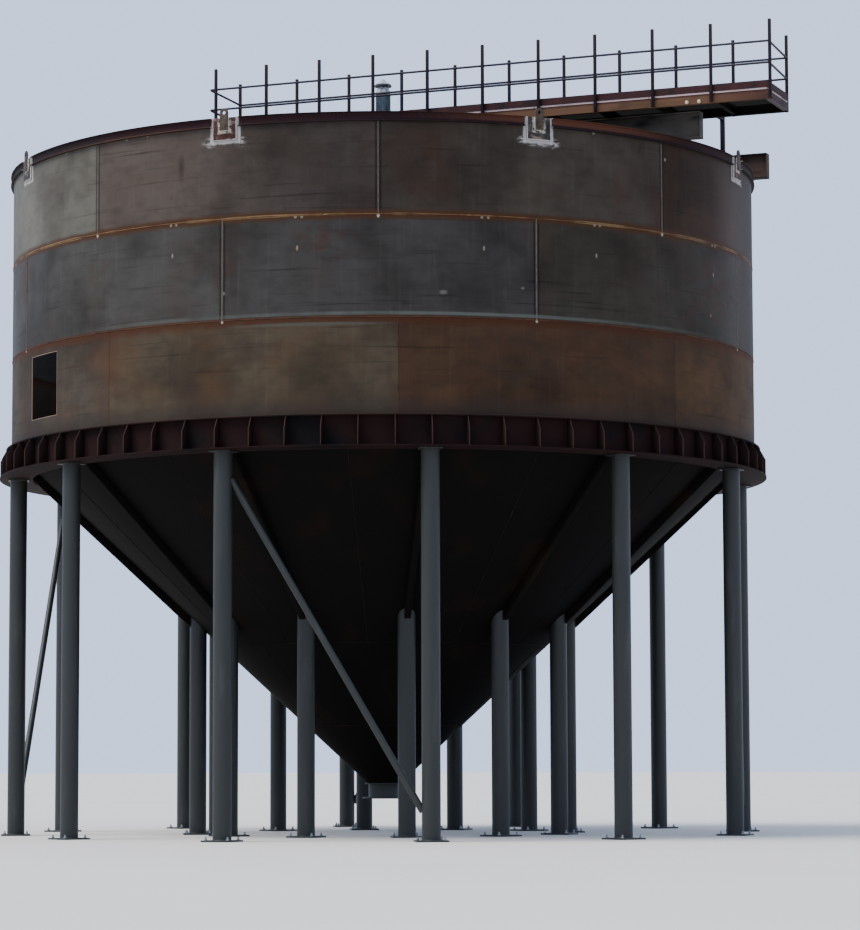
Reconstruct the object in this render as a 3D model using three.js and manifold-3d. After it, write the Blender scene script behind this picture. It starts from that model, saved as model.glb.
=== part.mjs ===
// Elevated cone-bottom steel water tank: a welded shell of three courses on a ring girder,
// a ribbed cone on two rings of columns, and a bridge with a walkway and a drive across the open top.
// Millimetres, +Z up, the column feet at z = 0, the bridge along +X, the origin under the box's centre.
import * as THREE from "three";
import { mergeVertices } from "three/addons/utils/BufferGeometryUtils.js";
import Module from "manifold-3d";

const wasm = await Module();
wasm.setup();

// Shell: radii are to the corners of the faceted rings
const SHELL_RADIUS = 6000;
const SHELL_PLATE = 10;
const RIM_Z = 10550;
const HIGH_SEAM_Z = 9050;
const LOW_SEAM_Z = 7550;
const WALL_FOOT_Z = 6130;
const RING_SIDES = 72;
const GAP = 0.3;
const SLIVER = 0.05;
const CUT_MARGIN = 50;

// Access opening cut through the bottom course
const ACCESS_ANGLE = -127.85;
const ACCESS_WIDTH = 942;
const ACCESS_SILL_Z = 6417;
const ACCESS_HEAD_Z = 7388;

// Curb channel rolled round the rim, toes outwards
const CURB_DEPTH = 135;
const CURB_REACH = 58;
const CURB_WEB = 6;
const CURB_FLANGE = 8;
const NOTCH_BITE = 1;

// Lifting lugs
const LUG_COUNT = 8;
const PAD_WIDTH = 370;
const PAD_HEIGHT = 330;
const PAD_THICKNESS = 20;
const PAD_SIDE_CLEARANCE = 25;
const EAR_WIDTH = 130;
const EAR_THICKNESS = 25;
const EAR_RISE = 135;
const EAR_DROP = 190;
const EYE_RADIUS = 26;
const EAR_SIDES = 12;
const EYE_SIDES = 8;

// Ring girder under the wall: channel with the web under the shell, gussets between the flanges
const GIRDER_RING_FOOT_Z = 5660;
const GIRDER_RING_WEB = 16;
const GIRDER_RING_FLANGE = 20;
const TOP_FLANGE_RADIUS = 6087;
const BOTTOM_FLANGE_RADIUS = 6186;
const BOTTOM_FLANGE_INNER = 5660;
const GUSSET_THICKNESS = 12;
const GUSSET_SHOULDER_Z = 5940;
const GUSSET_FOOT_INSET = 10;
const GUSSET_HEAD_INSET = 4;
const COLUMN_GRID_TURN = -0.75;

// Cone and its ribs
const CONE_SLOPE = 0.93;
const CONE_PLATE = 12;
const CONE_JOINT_RADIUS = 2600;
const CONE_TIP_RADIUS = 1250;
const CONE_OUTLET_RADIUS = 270;
const RIB_WIDTH = 100;
const RIB_DEPTH = 120;
const RIB_EMBED = 5;
const LOWER_CONE_SIDES = 36;

// Underflow outlet
const OUTLET_BORE = 244;
const OUTLET_WALL = 10;
const OUTLET_FOOT_Z = 560;
const OUTLET_FLANGE = 25;
const OUTLET_FLANGE_RADIUS = 350;
const OUTLET_COLLAR = 40;
const OUTLET_COLLAR_THICKNESS = 16;
const OUTLET_SIDES = 24;

// Columns and braces
const COLUMN_COUNT = 12;
const COLUMN_RADIUS = 136.5;
const COLUMN_SIDES = 18;
const OUTER_COLUMN_RADIUS = 5880;
const INNER_COLUMN_RADIUS = 3000;
const BASE_PLATE = 460;
const BASE_PLATE_THICKNESS = 25;
const CAP_PLATE = 330;
const CAP_PLATE_THICKNESS = 20;
const BRACE_RADIUS = 50;
const BRACE_SIDES = 12;
const BRACE_COUNT = 4;
const BRACE_TOP_Z = 5450;
const BRACE_FOOT_Z = 220;

// Bridge girders
const BRIDGE_START_X = -5780;
const BRIDGE_END_X = 6000;
const BRIDGE_GIRDER_Y = 1820;
const BRIDGE_GIRDER_DEPTH = 404;
const BRIDGE_GIRDER_WIDTH = 178;
const BRIDGE_GIRDER_FLANGE = 14;
const BRIDGE_GIRDER_WEB = 10;

// Walkway: near is the side at -Y
const BAY = 914.2;
const BAY_COUNT = 10;
const POST_GRID_X = -1866;
const NEAR_FIRST_POST_X = -1833;
const NEAR_LAST_POST_X = 7276;
const FAR_FIRST_POST_X = -1963;
const FAR_LAST_POST_X = 7204;
const NEAR_FACE_Y = -2485;
const FAR_FACE_Y = -1350;
const SIDE_CHANNEL_DEPTH = 140;
const CROSS_CHANNEL_DEPTH = 125;
const CHANNEL_FLANGE = 65;
const CHANNEL_WEB = 7;
const CHANNEL_LIP = 9;
const CROSS_DROP = 1;
const END_INSET = 1;
const DECK_THICKNESS = 30;
const TOE_GAP = 28;
const TOE_HEIGHT = 110;
const TOE_THICKNESS = 6;
const POST = 45;
const POST_TOP_Z = 12130;
const POST_FOOT_RISE = 6;
const NEAR_RAILS_Z = [11802, 11476];
const FAR_RAILS_Z = [11783, 11457];
const RAIL_RADIUS = 17;
const RAIL_SIDES = 6;
const NEAR_RAIL_START_X = -1926;
const NEAR_END_RAIL_X = -1905;
const END_RAIL_DROP = 15;

// Walkway leg on the curb
const LEG_RADIUS = 6028;
const LEG_ANGLE = -6.5;
const LEG_SIZE = 65;
const LEG_ARM = 50;

// Drive at the tank's axis
const DRIVE_BEAM_X = 450;
const DRIVE_BEAM_WIDTH = 150;
const DRIVE_BEAM_DEPTH = 200;
const DRIVE_BEAM_FLANGE = 11;
const DRIVE_BEAM_WEB = 8;
const DRIVE_PLATE_X = 1150;
const DRIVE_PLATE_Y = 800;
const DRIVE_PLATE_THICKNESS = 20;
const GEAR_HEIGHT = 460;
const GEAR_RADIUS = 230;
const GEAR_FOOT_REACH = 70;
const GEAR_FOOT_THICKNESS = 30;
const GEAR_SHOULDER_RISE = 300;
const GEAR_NECK_RISE = 360;
const GEAR_NECK_RADIUS = 170;
const ADAPTER_RADIUS = 162;
const ADAPTER_THICKNESS = 20;
const MOTOR_RADIUS = 122;
const MOTOR_TOP_Z = 12100;
const HOOD_RADIUS = 140;
const HOOD_FOOT_Z = 12185;
const HOOD_TOP_Z = 12320;
const HOOD_EDGE = 30;
const COWL_TOP_RADIUS = 75;
const FINIAL_RADIUS = 25;
const FINIAL_HEIGHT = 10;
const DRIVE_SIDES = 18;

const { degToRad } = THREE.MathUtils;
const BRIDGE_TOP_Z = RIM_Z + BRIDGE_GIRDER_DEPTH;
const DECK_Z = BRIDGE_TOP_Z + CROSS_CHANNEL_DEPTH + CROSS_DROP;
const SIDE_CHANNEL_Z = DECK_Z - SIDE_CHANNEL_DEPTH;
const WALKWAY_START_X = FAR_FIRST_POST_X - POST / 2;
const NEAR_SIDE_END_X = NEAR_LAST_POST_X + POST / 2;
const WALKWAY_END_X = FAR_LAST_POST_X + POST / 2;
const GIRDER_RING_WEB_INNER = SHELL_RADIUS - SHELL_PLATE;

function material(color, roughness, metalness) {
  return new THREE.MeshStandardMaterial({ color, roughness, metalness });
}

const millScale = material(0x4a4642, 0.62, 0.35);
const slateScale = material(0x434a50, 0.6, 0.35);
const rustedPlate = material(0x5a3f2c, 0.78, 0.2);
const primer = material(0x4a2626, 0.7, 0.1);
const slatePaint = material(0x465058, 0.55, 0.1);
const darkSteel = material(0x2c2826, 0.75, 0.2);
const darkPaint = material(0x2b2a2e, 0.6, 0.1);
const galvanised = material(0x9aa0a2, 0.5, 0.6);
const motorPaint = material(0x3b4a55, 0.5, 0.1);

function signedVolume(geometry) {
  const position = geometry.attributes.position;
  const index = geometry.index;
  const [a, b, c] = [new THREE.Vector3(), new THREE.Vector3(), new THREE.Vector3()];
  let total = 0;
  for (let i = 0; i < index.count; i += 3) {
    a.fromBufferAttribute(position, index.getX(i));
    b.fromBufferAttribute(position, index.getX(i + 1));
    c.fromBufferAttribute(position, index.getX(i + 2));
    total += a.dot(b.cross(c));
  }
  return total;
}

// One closed body with shared vertices, no empty triangles and its faces pointing out
function closedBody(source) {
  source.deleteAttribute("normal");
  source.deleteAttribute("uv");
  const geometry = mergeVertices(source, 1e-3);
  const triangles = [];
  for (let i = 0; i < geometry.index.count; i += 3) {
    const [a, b, c] = [0, 1, 2].map((corner) => geometry.index.getX(i + corner));
    if (a !== b && b !== c && c !== a) {
      triangles.push([a, b, c]);
    }
  }
  geometry.setIndex(triangles.flat());
  if (signedVolume(geometry) < 0) {
    geometry.setIndex(triangles.map(([a, b, c]) => [a, c, b]).flat());
  }
  return geometry;
}

function toSolid(geometry) {
  const closed = closedBody(geometry.clone());
  return new wasm.Manifold(new wasm.Mesh({
    numProp: 3,
    vertProperties: new Float32Array(closed.attributes.position.array),
    triVerts: new Uint32Array(closed.index.array),
  }));
}

// Slivers thinner than the tolerance are closed up on the way back
function toGeometry(solid) {
  const mesh = solid.simplify(SLIVER).getMesh();
  const geometry = new THREE.BufferGeometry();
  geometry.setAttribute("position", new THREE.BufferAttribute(mesh.vertProperties, 3));
  geometry.setIndex(new THREE.BufferAttribute(mesh.triVerts, 1));
  return geometry;
}

function join(geometries) {
  return toGeometry(geometries.map(toSolid).reduce((whole, part) => whole.add(part)));
}

function cut(geometry, tools) {
  return toGeometry(tools.map(toSolid).reduce((whole, tool) => whole.subtract(tool), toSolid(geometry)));
}

// A ring whose closed profile is given as [radius, height] pairs
function ring(profile, sides = RING_SIDES) {
  const points = [...profile, profile[0]].map(([radius, z]) => new THREE.Vector2(radius, z));
  return closedBody(new THREE.LatheGeometry(points, sides).rotateX(Math.PI / 2));
}

// A turned body whose profile starts and ends on the axis
function turned(profile, sides = DRIVE_SIDES) {
  const points = profile.map(([radius, z]) => new THREE.Vector2(radius, z));
  return closedBody(new THREE.LatheGeometry(points, sides).rotateX(Math.PI / 2));
}

function box(x0, x1, y0, y1, z0, z1) {
  return new THREE.BoxGeometry(x1 - x0, y1 - y0, z1 - z0)
    .translate((x0 + x1) / 2, (y0 + y1) / 2, (z0 + z1) / 2);
}

function outlineShape(points) {
  return new THREE.Shape(points.map(([x, y]) => new THREE.Vector2(x, y)));
}

// A plate that stands in the plane through the axis, outlined as [radius, height] pairs
function radialPlate(outline, thickness, angle) {
  return new THREE.ExtrudeGeometry(outlineShape(outline), { depth: thickness, bevelEnabled: false })
    .translate(0, 0, -thickness / 2)
    .rotateX(Math.PI / 2)
    .rotateZ(degToRad(angle));
}

// A bar along +X whose section is given as [y, z] pairs
function barAlongX(section, x0, x1) {
  return new THREE.ExtrudeGeometry(outlineShape(section), { depth: x1 - x0, bevelEnabled: false })
    .rotateX(Math.PI / 2)
    .rotateZ(Math.PI / 2)
    .translate(x0, 0, 0);
}

// A bar along +Y whose section is given as [x, z] pairs
function barAlongY(section, y0, y1) {
  return new THREE.ExtrudeGeometry(outlineShape(section), { depth: y1 - y0, bevelEnabled: false })
    .rotateX(Math.PI / 2)
    .translate(0, y1, 0);
}

function rodBetween(start, end, radius, sides) {
  const axis = new THREE.Vector3().subVectors(end, start);
  const turn = new THREE.Quaternion().setFromUnitVectors(new THREE.Vector3(0, 1, 0), axis.clone().normalize());
  const middle = new THREE.Vector3().addVectors(start, end).multiplyScalar(0.5);
  return new THREE.CylinderGeometry(radius, radius, axis.length(), sides)
    .applyQuaternion(turn)
    .translate(middle.x, middle.y, middle.z);
}

function onCircle(radius, angle, z) {
  return new THREE.Vector3(radius * Math.cos(degToRad(angle)), radius * Math.sin(degToRad(angle)), z);
}

// I-section as [across, up] pairs, standing on height foot
function iSection(centre, foot, width, depth, flange, web) {
  const [w, s] = [width / 2, web / 2];
  const [low, high] = [foot + flange, foot + depth - flange];
  return [
    [centre - w, foot], [centre + w, foot], [centre + w, low], [centre + s, low],
    [centre + s, high], [centre + w, high], [centre + w, foot + depth], [centre - w, foot + depth],
    [centre - w, high], [centre - s, high], [centre - s, low], [centre - w, low],
  ];
}

// Channel with its back at the given place and its flanges towards the given side, 1 or -1
function channelSection(back, side, foot, depth) {
  const top = foot + depth;
  const web = back + side * CHANNEL_WEB;
  const toe = back + side * CHANNEL_FLANGE;
  return [
    [back, foot], [toe, foot], [toe, foot + CHANNEL_LIP], [web, foot + CHANNEL_LIP],
    [web, top - CHANNEL_LIP], [toe, top - CHANNEL_LIP], [toe, top], [back, top],
  ];
}

// Places of the inner posts and of the cross channels under them
const INNER_POSTS_X = [];
for (let i = 1; i < BAY_COUNT; i += 1) {
  INNER_POSTS_X.push(POST_GRID_X + BAY * i);
}

// Height of the cone's outer face at a radius
const CONE_TOP_Z = WALL_FOOT_Z - GAP;
const CONE_TOP_RADIUS = GIRDER_RING_WEB_INNER - GAP;
const CONE_LENGTH_RATIO = Math.hypot(1, CONE_SLOPE);
const CONE_WIDTH = (CONE_PLATE * CONE_LENGTH_RATIO) / CONE_SLOPE;

function coneZ(radius) {
  return CONE_TOP_Z - CONE_SLOPE * (CONE_TOP_RADIUS - radius);
}

function shellCourse(foot, top) {
  const inner = SHELL_RADIUS - SHELL_PLATE;
  return ring([[inner, foot], [SHELL_RADIUS, foot], [SHELL_RADIUS, top], [inner, top]]);
}

function bottomCourse() {
  const opening = box(
    SHELL_RADIUS - CUT_MARGIN, SHELL_RADIUS + CUT_MARGIN,
    -ACCESS_WIDTH / 2, ACCESS_WIDTH / 2,
    ACCESS_SILL_Z, ACCESS_HEAD_Z,
  ).rotateZ(degToRad(ACCESS_ANGLE));
  return cut(shellCourse(WALL_FOOT_Z, LOW_SEAM_Z), [opening]);
}

function lugAngle(index) {
  return (360 / LUG_COUNT) * index;
}

// The channel's flanges stop beside each lug pad, and its web runs on behind the pad
function curbRing() {
  const back = SHELL_RADIUS + GAP;
  const web = back + CURB_WEB;
  const toe = SHELL_RADIUS + CURB_REACH;
  const foot = RIM_Z - CURB_DEPTH;
  const channel = ring([
    [back, foot], [toe, foot], [toe, foot + CURB_FLANGE], [web, foot + CURB_FLANGE],
    [web, RIM_Z - CURB_FLANGE], [toe, RIM_Z - CURB_FLANGE], [toe, RIM_Z], [back, RIM_Z],
  ]);
  const halfNotch = PAD_WIDTH / 2 + PAD_SIDE_CLEARANCE;
  const notches = [];
  for (let i = 0; i < LUG_COUNT; i += 1) {
    notches.push(box(
      web - NOTCH_BITE, toe + CUT_MARGIN,
      -halfNotch, halfNotch,
      foot - CUT_MARGIN, RIM_Z + CUT_MARGIN,
    ).rotateZ(degToRad(lugAngle(i))));
  }
  return cut(channel, notches);
}

// A flat pad against the curb's web with an ear that stands above the rim
function liftingLug() {
  const back = SHELL_RADIUS + CURB_WEB + 2 * GAP - NOTCH_BITE;
  const face = back + PAD_THICKNESS;
  const earFace = face + EAR_THICKNESS;
  const pad = box(back, face, -PAD_WIDTH / 2, PAD_WIDTH / 2, RIM_Z - PAD_HEIGHT, RIM_Z);
  const shoulderZ = RIM_Z + EAR_RISE - EAR_WIDTH / 2;
  const ear = box(face, earFace, -EAR_WIDTH / 2, EAR_WIDTH / 2, RIM_Z - EAR_DROP, shoulderZ);
  const middle = (face + earFace) / 2;
  const head = new THREE.CylinderGeometry(EAR_WIDTH / 2, EAR_WIDTH / 2, EAR_THICKNESS, EAR_SIDES)
    .rotateZ(Math.PI / 2)
    .translate(middle, 0, shoulderZ);
  const eye = new THREE.CylinderGeometry(EYE_RADIUS, EYE_RADIUS, 3 * EAR_THICKNESS, EYE_SIDES)
    .rotateZ(Math.PI / 2)
    .translate(middle, 0, shoulderZ);
  return cut(join([pad, ear, head]), [eye]);
}

function ringGirder() {
  const inner = GIRDER_RING_WEB_INNER;
  const web = inner + GIRDER_RING_WEB;
  const [foot, top] = [GIRDER_RING_FOOT_Z, WALL_FOOT_Z];
  const [low, high] = [foot + GIRDER_RING_FLANGE, top - GIRDER_RING_FLANGE];
  const channel = ring([
    [BOTTOM_FLANGE_INNER, foot], [BOTTOM_FLANGE_RADIUS, foot], [BOTTOM_FLANGE_RADIUS, low], [web, low],
    [web, high], [TOP_FLANGE_RADIUS, high], [TOP_FLANGE_RADIUS, top], [inner, top],
    [inner, low], [BOTTOM_FLANGE_INNER, low],
  ]);
  const embed = GIRDER_RING_FLANGE / 4;
  const root = web - GIRDER_RING_WEB / 2;
  const toe = BOTTOM_FLANGE_RADIUS - GUSSET_FOOT_INSET;
  const head = TOP_FLANGE_RADIUS - GUSSET_HEAD_INSET;
  const outline = [
    [root, low - embed], [toe, low - embed], [toe, GUSSET_SHOULDER_Z],
    [head, high], [head, high + embed], [root, high + embed],
  ];
  const parts = [channel];
  for (let i = 0; i < RING_SIDES; i += 1) {
    parts.push(radialPlate(outline, GUSSET_THICKNESS, (360 / RING_SIDES) * i));
  }
  return join(parts);
}

function conePlate(topRadius, footRadius, sides) {
  return ring([
    [footRadius - CONE_WIDTH, coneZ(footRadius)], [footRadius, coneZ(footRadius)],
    [topRadius, coneZ(topRadius)], [topRadius - CONE_WIDTH, coneZ(topRadius)],
  ], sides);
}

// Ribs run under the cone from the ring girder's flange to the inner columns
function upperCone() {
  const start = BOTTOM_FLANGE_INNER * Math.cos(Math.PI / RING_SIDES) - GAP;
  const end = INNER_COLUMN_RADIUS + COLUMN_RADIUS + GAP;
  const drop = RIB_DEPTH * CONE_LENGTH_RATIO;
  const embed = RIB_EMBED * CONE_LENGTH_RATIO;
  const outline = [
    [end, coneZ(end) + embed], [end, coneZ(end) - drop],
    [start, coneZ(start) - drop], [start, coneZ(start) + embed],
  ];
  const parts = [conePlate(CONE_TOP_RADIUS, CONE_JOINT_RADIUS, RING_SIDES)];
  for (let i = 0; i < COLUMN_COUNT; i += 1) {
    parts.push(radialPlate(outline, RIB_WIDTH, (360 / COLUMN_COUNT) * i));
  }
  return join(parts);
}

function underflowOutlet() {
  const top = coneZ(CONE_OUTLET_RADIUS);
  const wall = OUTLET_BORE + OUTLET_WALL;
  const collar = CONE_OUTLET_RADIUS + OUTLET_COLLAR;
  const collarFoot = top - OUTLET_COLLAR_THICKNESS;
  const neck = OUTLET_FOOT_Z + OUTLET_FLANGE;
  return ring([
    [OUTLET_BORE, OUTLET_FOOT_Z], [OUTLET_FLANGE_RADIUS, OUTLET_FOOT_Z], [OUTLET_FLANGE_RADIUS, neck],
    [wall, neck], [wall, collarFoot], [collar, collarFoot], [collar, top], [OUTLET_BORE, top],
  ], OUTLET_SIDES);
}

function columnShaft(top) {
  return new THREE.CylinderGeometry(COLUMN_RADIUS, COLUMN_RADIUS, top, COLUMN_SIDES)
    .rotateX(Math.PI / 2)
    .translate(0, 0, top / 2);
}

function squarePlate(size, z0, z1) {
  return box(-size / 2, size / 2, -size / 2, size / 2, z0, z1);
}

function outerColumn() {
  const top = GIRDER_RING_FOOT_Z;
  return join([
    squarePlate(BASE_PLATE, 0, BASE_PLATE_THICKNESS),
    columnShaft(top - CAP_PLATE_THICKNESS / 2),
    squarePlate(CAP_PLATE, top - CAP_PLATE_THICKNESS, top),
  ]).translate(OUTER_COLUMN_RADIUS, 0, 0);
}

// The shaft's head is cut to the cone's slope
function innerColumn() {
  const reach = 2 * COLUMN_RADIUS;
  const top = coneZ(INNER_COLUMN_RADIUS + reach);
  const shaft = join([
    squarePlate(BASE_PLATE, 0, BASE_PLATE_THICKNESS),
    columnShaft(top),
  ]).translate(INNER_COLUMN_RADIUS, 0, 0);
  const slack = GAP * CONE_LENGTH_RATIO;
  const [near, far] = [INNER_COLUMN_RADIUS - reach, INNER_COLUMN_RADIUS + reach];
  const above = radialPlate([
    [near, coneZ(near) - slack], [far, coneZ(far) - slack], [far, top + reach], [near, top + reach],
  ], 2 * reach, 0);
  return cut(shaft, [above]);
}

// A tube from a column's head to the next column's foot, coped to both
function brace(angle) {
  const next = angle + 360 / COLUMN_COUNT;
  const start = onCircle(OUTER_COLUMN_RADIUS, angle, BRACE_TOP_Z);
  const end = onCircle(OUTER_COLUMN_RADIUS, next, BRACE_FOOT_Z);
  const copes = [angle, next].map((at) => {
    const centre = onCircle(OUTER_COLUMN_RADIUS, at, 0);
    return new THREE.CylinderGeometry(COLUMN_RADIUS + GAP, COLUMN_RADIUS + GAP, 2 * BRACE_TOP_Z, COLUMN_SIDES)
      .rotateX(Math.PI / 2)
      .rotateZ(degToRad(at))
      .translate(centre.x, centre.y, BRACE_TOP_Z / 2);
  });
  return cut(rodBetween(start, end, BRACE_RADIUS, BRACE_SIDES), copes);
}

function bridgeGirder(y) {
  return closedBody(barAlongX(
    iSection(y, RIM_Z, BRIDGE_GIRDER_WIDTH, BRIDGE_GIRDER_DEPTH, BRIDGE_GIRDER_FLANGE, BRIDGE_GIRDER_WEB),
    BRIDGE_START_X, BRIDGE_END_X,
  ));
}

// Two side channels, end channels and a cross channel at every post; the cross channels rest on the girder,
// and the near side channel runs on past the end channel
function walkwayFrame() {
  const [inNear, inFar] = [NEAR_FACE_Y + CHANNEL_WEB / 2, FAR_FACE_Y - CHANNEL_WEB / 2];
  const near = channelSection(NEAR_FACE_Y, 1, SIDE_CHANNEL_Z, SIDE_CHANNEL_DEPTH);
  const far = channelSection(FAR_FACE_Y, -1, SIDE_CHANNEL_Z, SIDE_CHANNEL_DEPTH);
  const crossChannel = (back, side) => (
    barAlongY(channelSection(back, side, BRIDGE_TOP_Z, CROSS_CHANNEL_DEPTH), inNear, inFar)
  );
  return join([
    barAlongX(near, WALKWAY_START_X, NEAR_SIDE_END_X),
    barAlongX(far, WALKWAY_START_X, WALKWAY_END_X),
    crossChannel(WALKWAY_START_X + END_INSET, 1),
    crossChannel(WALKWAY_END_X - END_INSET, -1),
    ...INNER_POSTS_X.map((x) => crossChannel(x, 1)),
  ]);
}

function walkwayDeck() {
  const inset = TOE_THICKNESS + GAP;
  return box(
    WALKWAY_START_X + inset, WALKWAY_END_X - inset,
    NEAR_FACE_Y + inset, FAR_FACE_Y - inset,
    DECK_Z, DECK_Z + DECK_THICKNESS,
  );
}

// Toe board on the near side with its returns across both ends, as one bent outline
function nearToeBoard() {
  const farEnd = FAR_FACE_Y - TOE_THICKNESS - GAP;
  const [left, right] = [WALKWAY_START_X, WALKWAY_END_X];
  const inner = NEAR_FACE_Y + TOE_THICKNESS;
  const outline = [
    [left, NEAR_FACE_Y], [NEAR_SIDE_END_X, NEAR_FACE_Y], [NEAR_SIDE_END_X, inner],
    [right, inner], [right, farEnd], [right - TOE_THICKNESS, farEnd], [right - TOE_THICKNESS, inner],
    [left + TOE_THICKNESS, inner], [left + TOE_THICKNESS, farEnd], [left, farEnd],
  ];
  return closedBody(new THREE.ExtrudeGeometry(outlineShape(outline), { depth: TOE_HEIGHT, bevelEnabled: false })
    .translate(0, 0, DECK_Z + TOE_GAP));
}

function farToeBoard() {
  const [foot, top] = [DECK_Z + TOE_GAP, DECK_Z + TOE_GAP + TOE_HEIGHT];
  return box(WALKWAY_START_X, WALKWAY_END_X, FAR_FACE_Y - TOE_THICKNESS, FAR_FACE_Y, foot, top);
}

function postsAndRails(y, endPosts, railStart, railHeights) {
  const [first, last] = endPosts;
  const parts = [first, ...INNER_POSTS_X, last].map((x) => box(
    x - POST / 2, x + POST / 2, y - POST / 2, y + POST / 2,
    SIDE_CHANNEL_Z + POST_FOOT_RISE, POST_TOP_Z,
  ));
  for (const z of railHeights) {
    const start = new THREE.Vector3(railStart, y, z);
    const end = new THREE.Vector3(last, y, z);
    parts.push(rodBetween(start, end, RAIL_RADIUS, RAIL_SIDES));
  }
  return parts;
}

const NEAR_POST_Y = NEAR_FACE_Y - POST / 2;
const FAR_POST_Y = FAR_FACE_Y + POST / 2;

// A rail across the walkway's end, from the near handrail at one place to the far end post's face at another
function endRail(nearX, farX, z) {
  const length = FAR_FACE_Y - GAP - NEAR_POST_Y;
  const slant = new THREE.Matrix4().makeShear(0, 0, (farX - nearX) / length, 0, 0, 0);
  return rodBetween(new THREE.Vector3(0, 0, z), new THREE.Vector3(0, length, z), RAIL_RADIUS, RAIL_SIDES)
    .applyMatrix4(slant)
    .translate(nearX, NEAR_POST_Y, 0);
}

// The near handrail's rails run on past the first post, and it carries the end rails up to the far posts
function nearHandrail() {
  const endPosts = [NEAR_FIRST_POST_X, NEAR_LAST_POST_X];
  const parts = postsAndRails(NEAR_POST_Y, endPosts, NEAR_RAIL_START_X, NEAR_RAILS_Z);
  for (const railZ of NEAR_RAILS_Z) {
    const z = railZ - END_RAIL_DROP;
    parts.push(endRail(NEAR_END_RAIL_X, FAR_FIRST_POST_X, z), endRail(NEAR_LAST_POST_X, FAR_LAST_POST_X, z));
  }
  return join(parts);
}

function farHandrail() {
  const endPosts = [FAR_FIRST_POST_X, FAR_LAST_POST_X];
  return join(postsAndRails(FAR_POST_Y, endPosts, FAR_FIRST_POST_X, FAR_RAILS_Z));
}

// A leg on the curb with an arm at its head to the back of the far side channel
function walkwayLeg() {
  const foot = onCircle(LEG_RADIUS, LEG_ANGLE, RIM_Z);
  const [half, halfArm] = [LEG_SIZE / 2, LEG_ARM / 2];
  const post = box(-half, half, -half, half, RIM_Z, DECK_Z)
    .rotateZ(degToRad(LEG_ANGLE))
    .translate(foot.x, foot.y, 0);
  const arm = box(foot.x - halfArm, foot.x + halfArm, FAR_FACE_Y, foot.y, DECK_Z - LEG_ARM, DECK_Z);
  return join([post, arm]);
}

// Two cross beams between the bridge girders' webs and the plate that carries the gear unit
const DRIVE_BEAM_TOP_Z = BRIDGE_TOP_Z - BRIDGE_GIRDER_FLANGE - GAP;
const DRIVE_PLATE_TOP_Z = DRIVE_BEAM_TOP_Z + DRIVE_PLATE_THICKNESS;

function driveBase() {
  const half = BRIDGE_GIRDER_Y - BRIDGE_GIRDER_WEB / 2 - GAP;
  const foot = DRIVE_BEAM_TOP_Z - DRIVE_BEAM_DEPTH;
  const parts = [-DRIVE_BEAM_X, DRIVE_BEAM_X].map((x) => barAlongY(
    iSection(x, foot, DRIVE_BEAM_WIDTH, DRIVE_BEAM_DEPTH, DRIVE_BEAM_FLANGE, DRIVE_BEAM_WEB),
    -half, half,
  ));
  parts.push(box(
    -DRIVE_PLATE_X / 2, DRIVE_PLATE_X / 2, -DRIVE_PLATE_Y / 2, DRIVE_PLATE_Y / 2,
    DRIVE_BEAM_TOP_Z, DRIVE_PLATE_TOP_Z,
  ));
  return join(parts);
}

const GEAR_TOP_Z = DRIVE_PLATE_TOP_Z + GEAR_HEIGHT;

function gearUnit() {
  const foot = DRIVE_PLATE_TOP_Z;
  const lip = GEAR_RADIUS + GEAR_FOOT_REACH;
  const adapterFoot = GEAR_TOP_Z - ADAPTER_THICKNESS;
  return turned([
    [0, foot], [lip, foot], [lip, foot + GEAR_FOOT_THICKNESS], [GEAR_RADIUS, foot + GEAR_FOOT_THICKNESS],
    [GEAR_RADIUS, foot + GEAR_SHOULDER_RISE], [GEAR_NECK_RADIUS, foot + GEAR_NECK_RISE],
    [GEAR_NECK_RADIUS, adapterFoot], [ADAPTER_RADIUS, adapterFoot], [ADAPTER_RADIUS, GEAR_TOP_Z], [0, GEAR_TOP_Z],
  ]);
}

// Flanged motor with its fan cowl drawn in under a rain hood
function driveMotor() {
  const flangeTop = GEAR_TOP_Z + ADAPTER_THICKNESS;
  return turned([
    [0, GEAR_TOP_Z], [ADAPTER_RADIUS, GEAR_TOP_Z], [ADAPTER_RADIUS, flangeTop],
    [MOTOR_RADIUS, flangeTop], [MOTOR_RADIUS, MOTOR_TOP_Z], [COWL_TOP_RADIUS, HOOD_FOOT_Z],
    [HOOD_RADIUS, HOOD_FOOT_Z], [HOOD_RADIUS, HOOD_FOOT_Z + HOOD_EDGE],
    [FINIAL_RADIUS, HOOD_TOP_Z - FINIAL_HEIGHT], [0, HOOD_TOP_Z],
  ]);
}

function named(name, geometry, finish) {
  const mesh = new THREE.Mesh(geometry, finish);
  mesh.name = name;
  return mesh;
}

function buildVessel() {
  const vessel = new THREE.Group();
  vessel.add(
    named("shell_course_bottom", bottomCourse(), rustedPlate),
    named("shell_course_middle", shellCourse(LOW_SEAM_Z, HIGH_SEAM_Z), slateScale),
    named("shell_course_top", shellCourse(HIGH_SEAM_Z, RIM_Z), millScale),
    named("curb_ring", curbRing(), primer),
  );
  const lug = liftingLug();
  for (let i = 0; i < LUG_COUNT; i += 1) {
    const mesh = named(`lifting_lug_${i + 1}`, lug, primer);
    mesh.rotation.z = degToRad(lugAngle(i));
    vessel.add(mesh);
  }
  return vessel;
}

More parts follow.
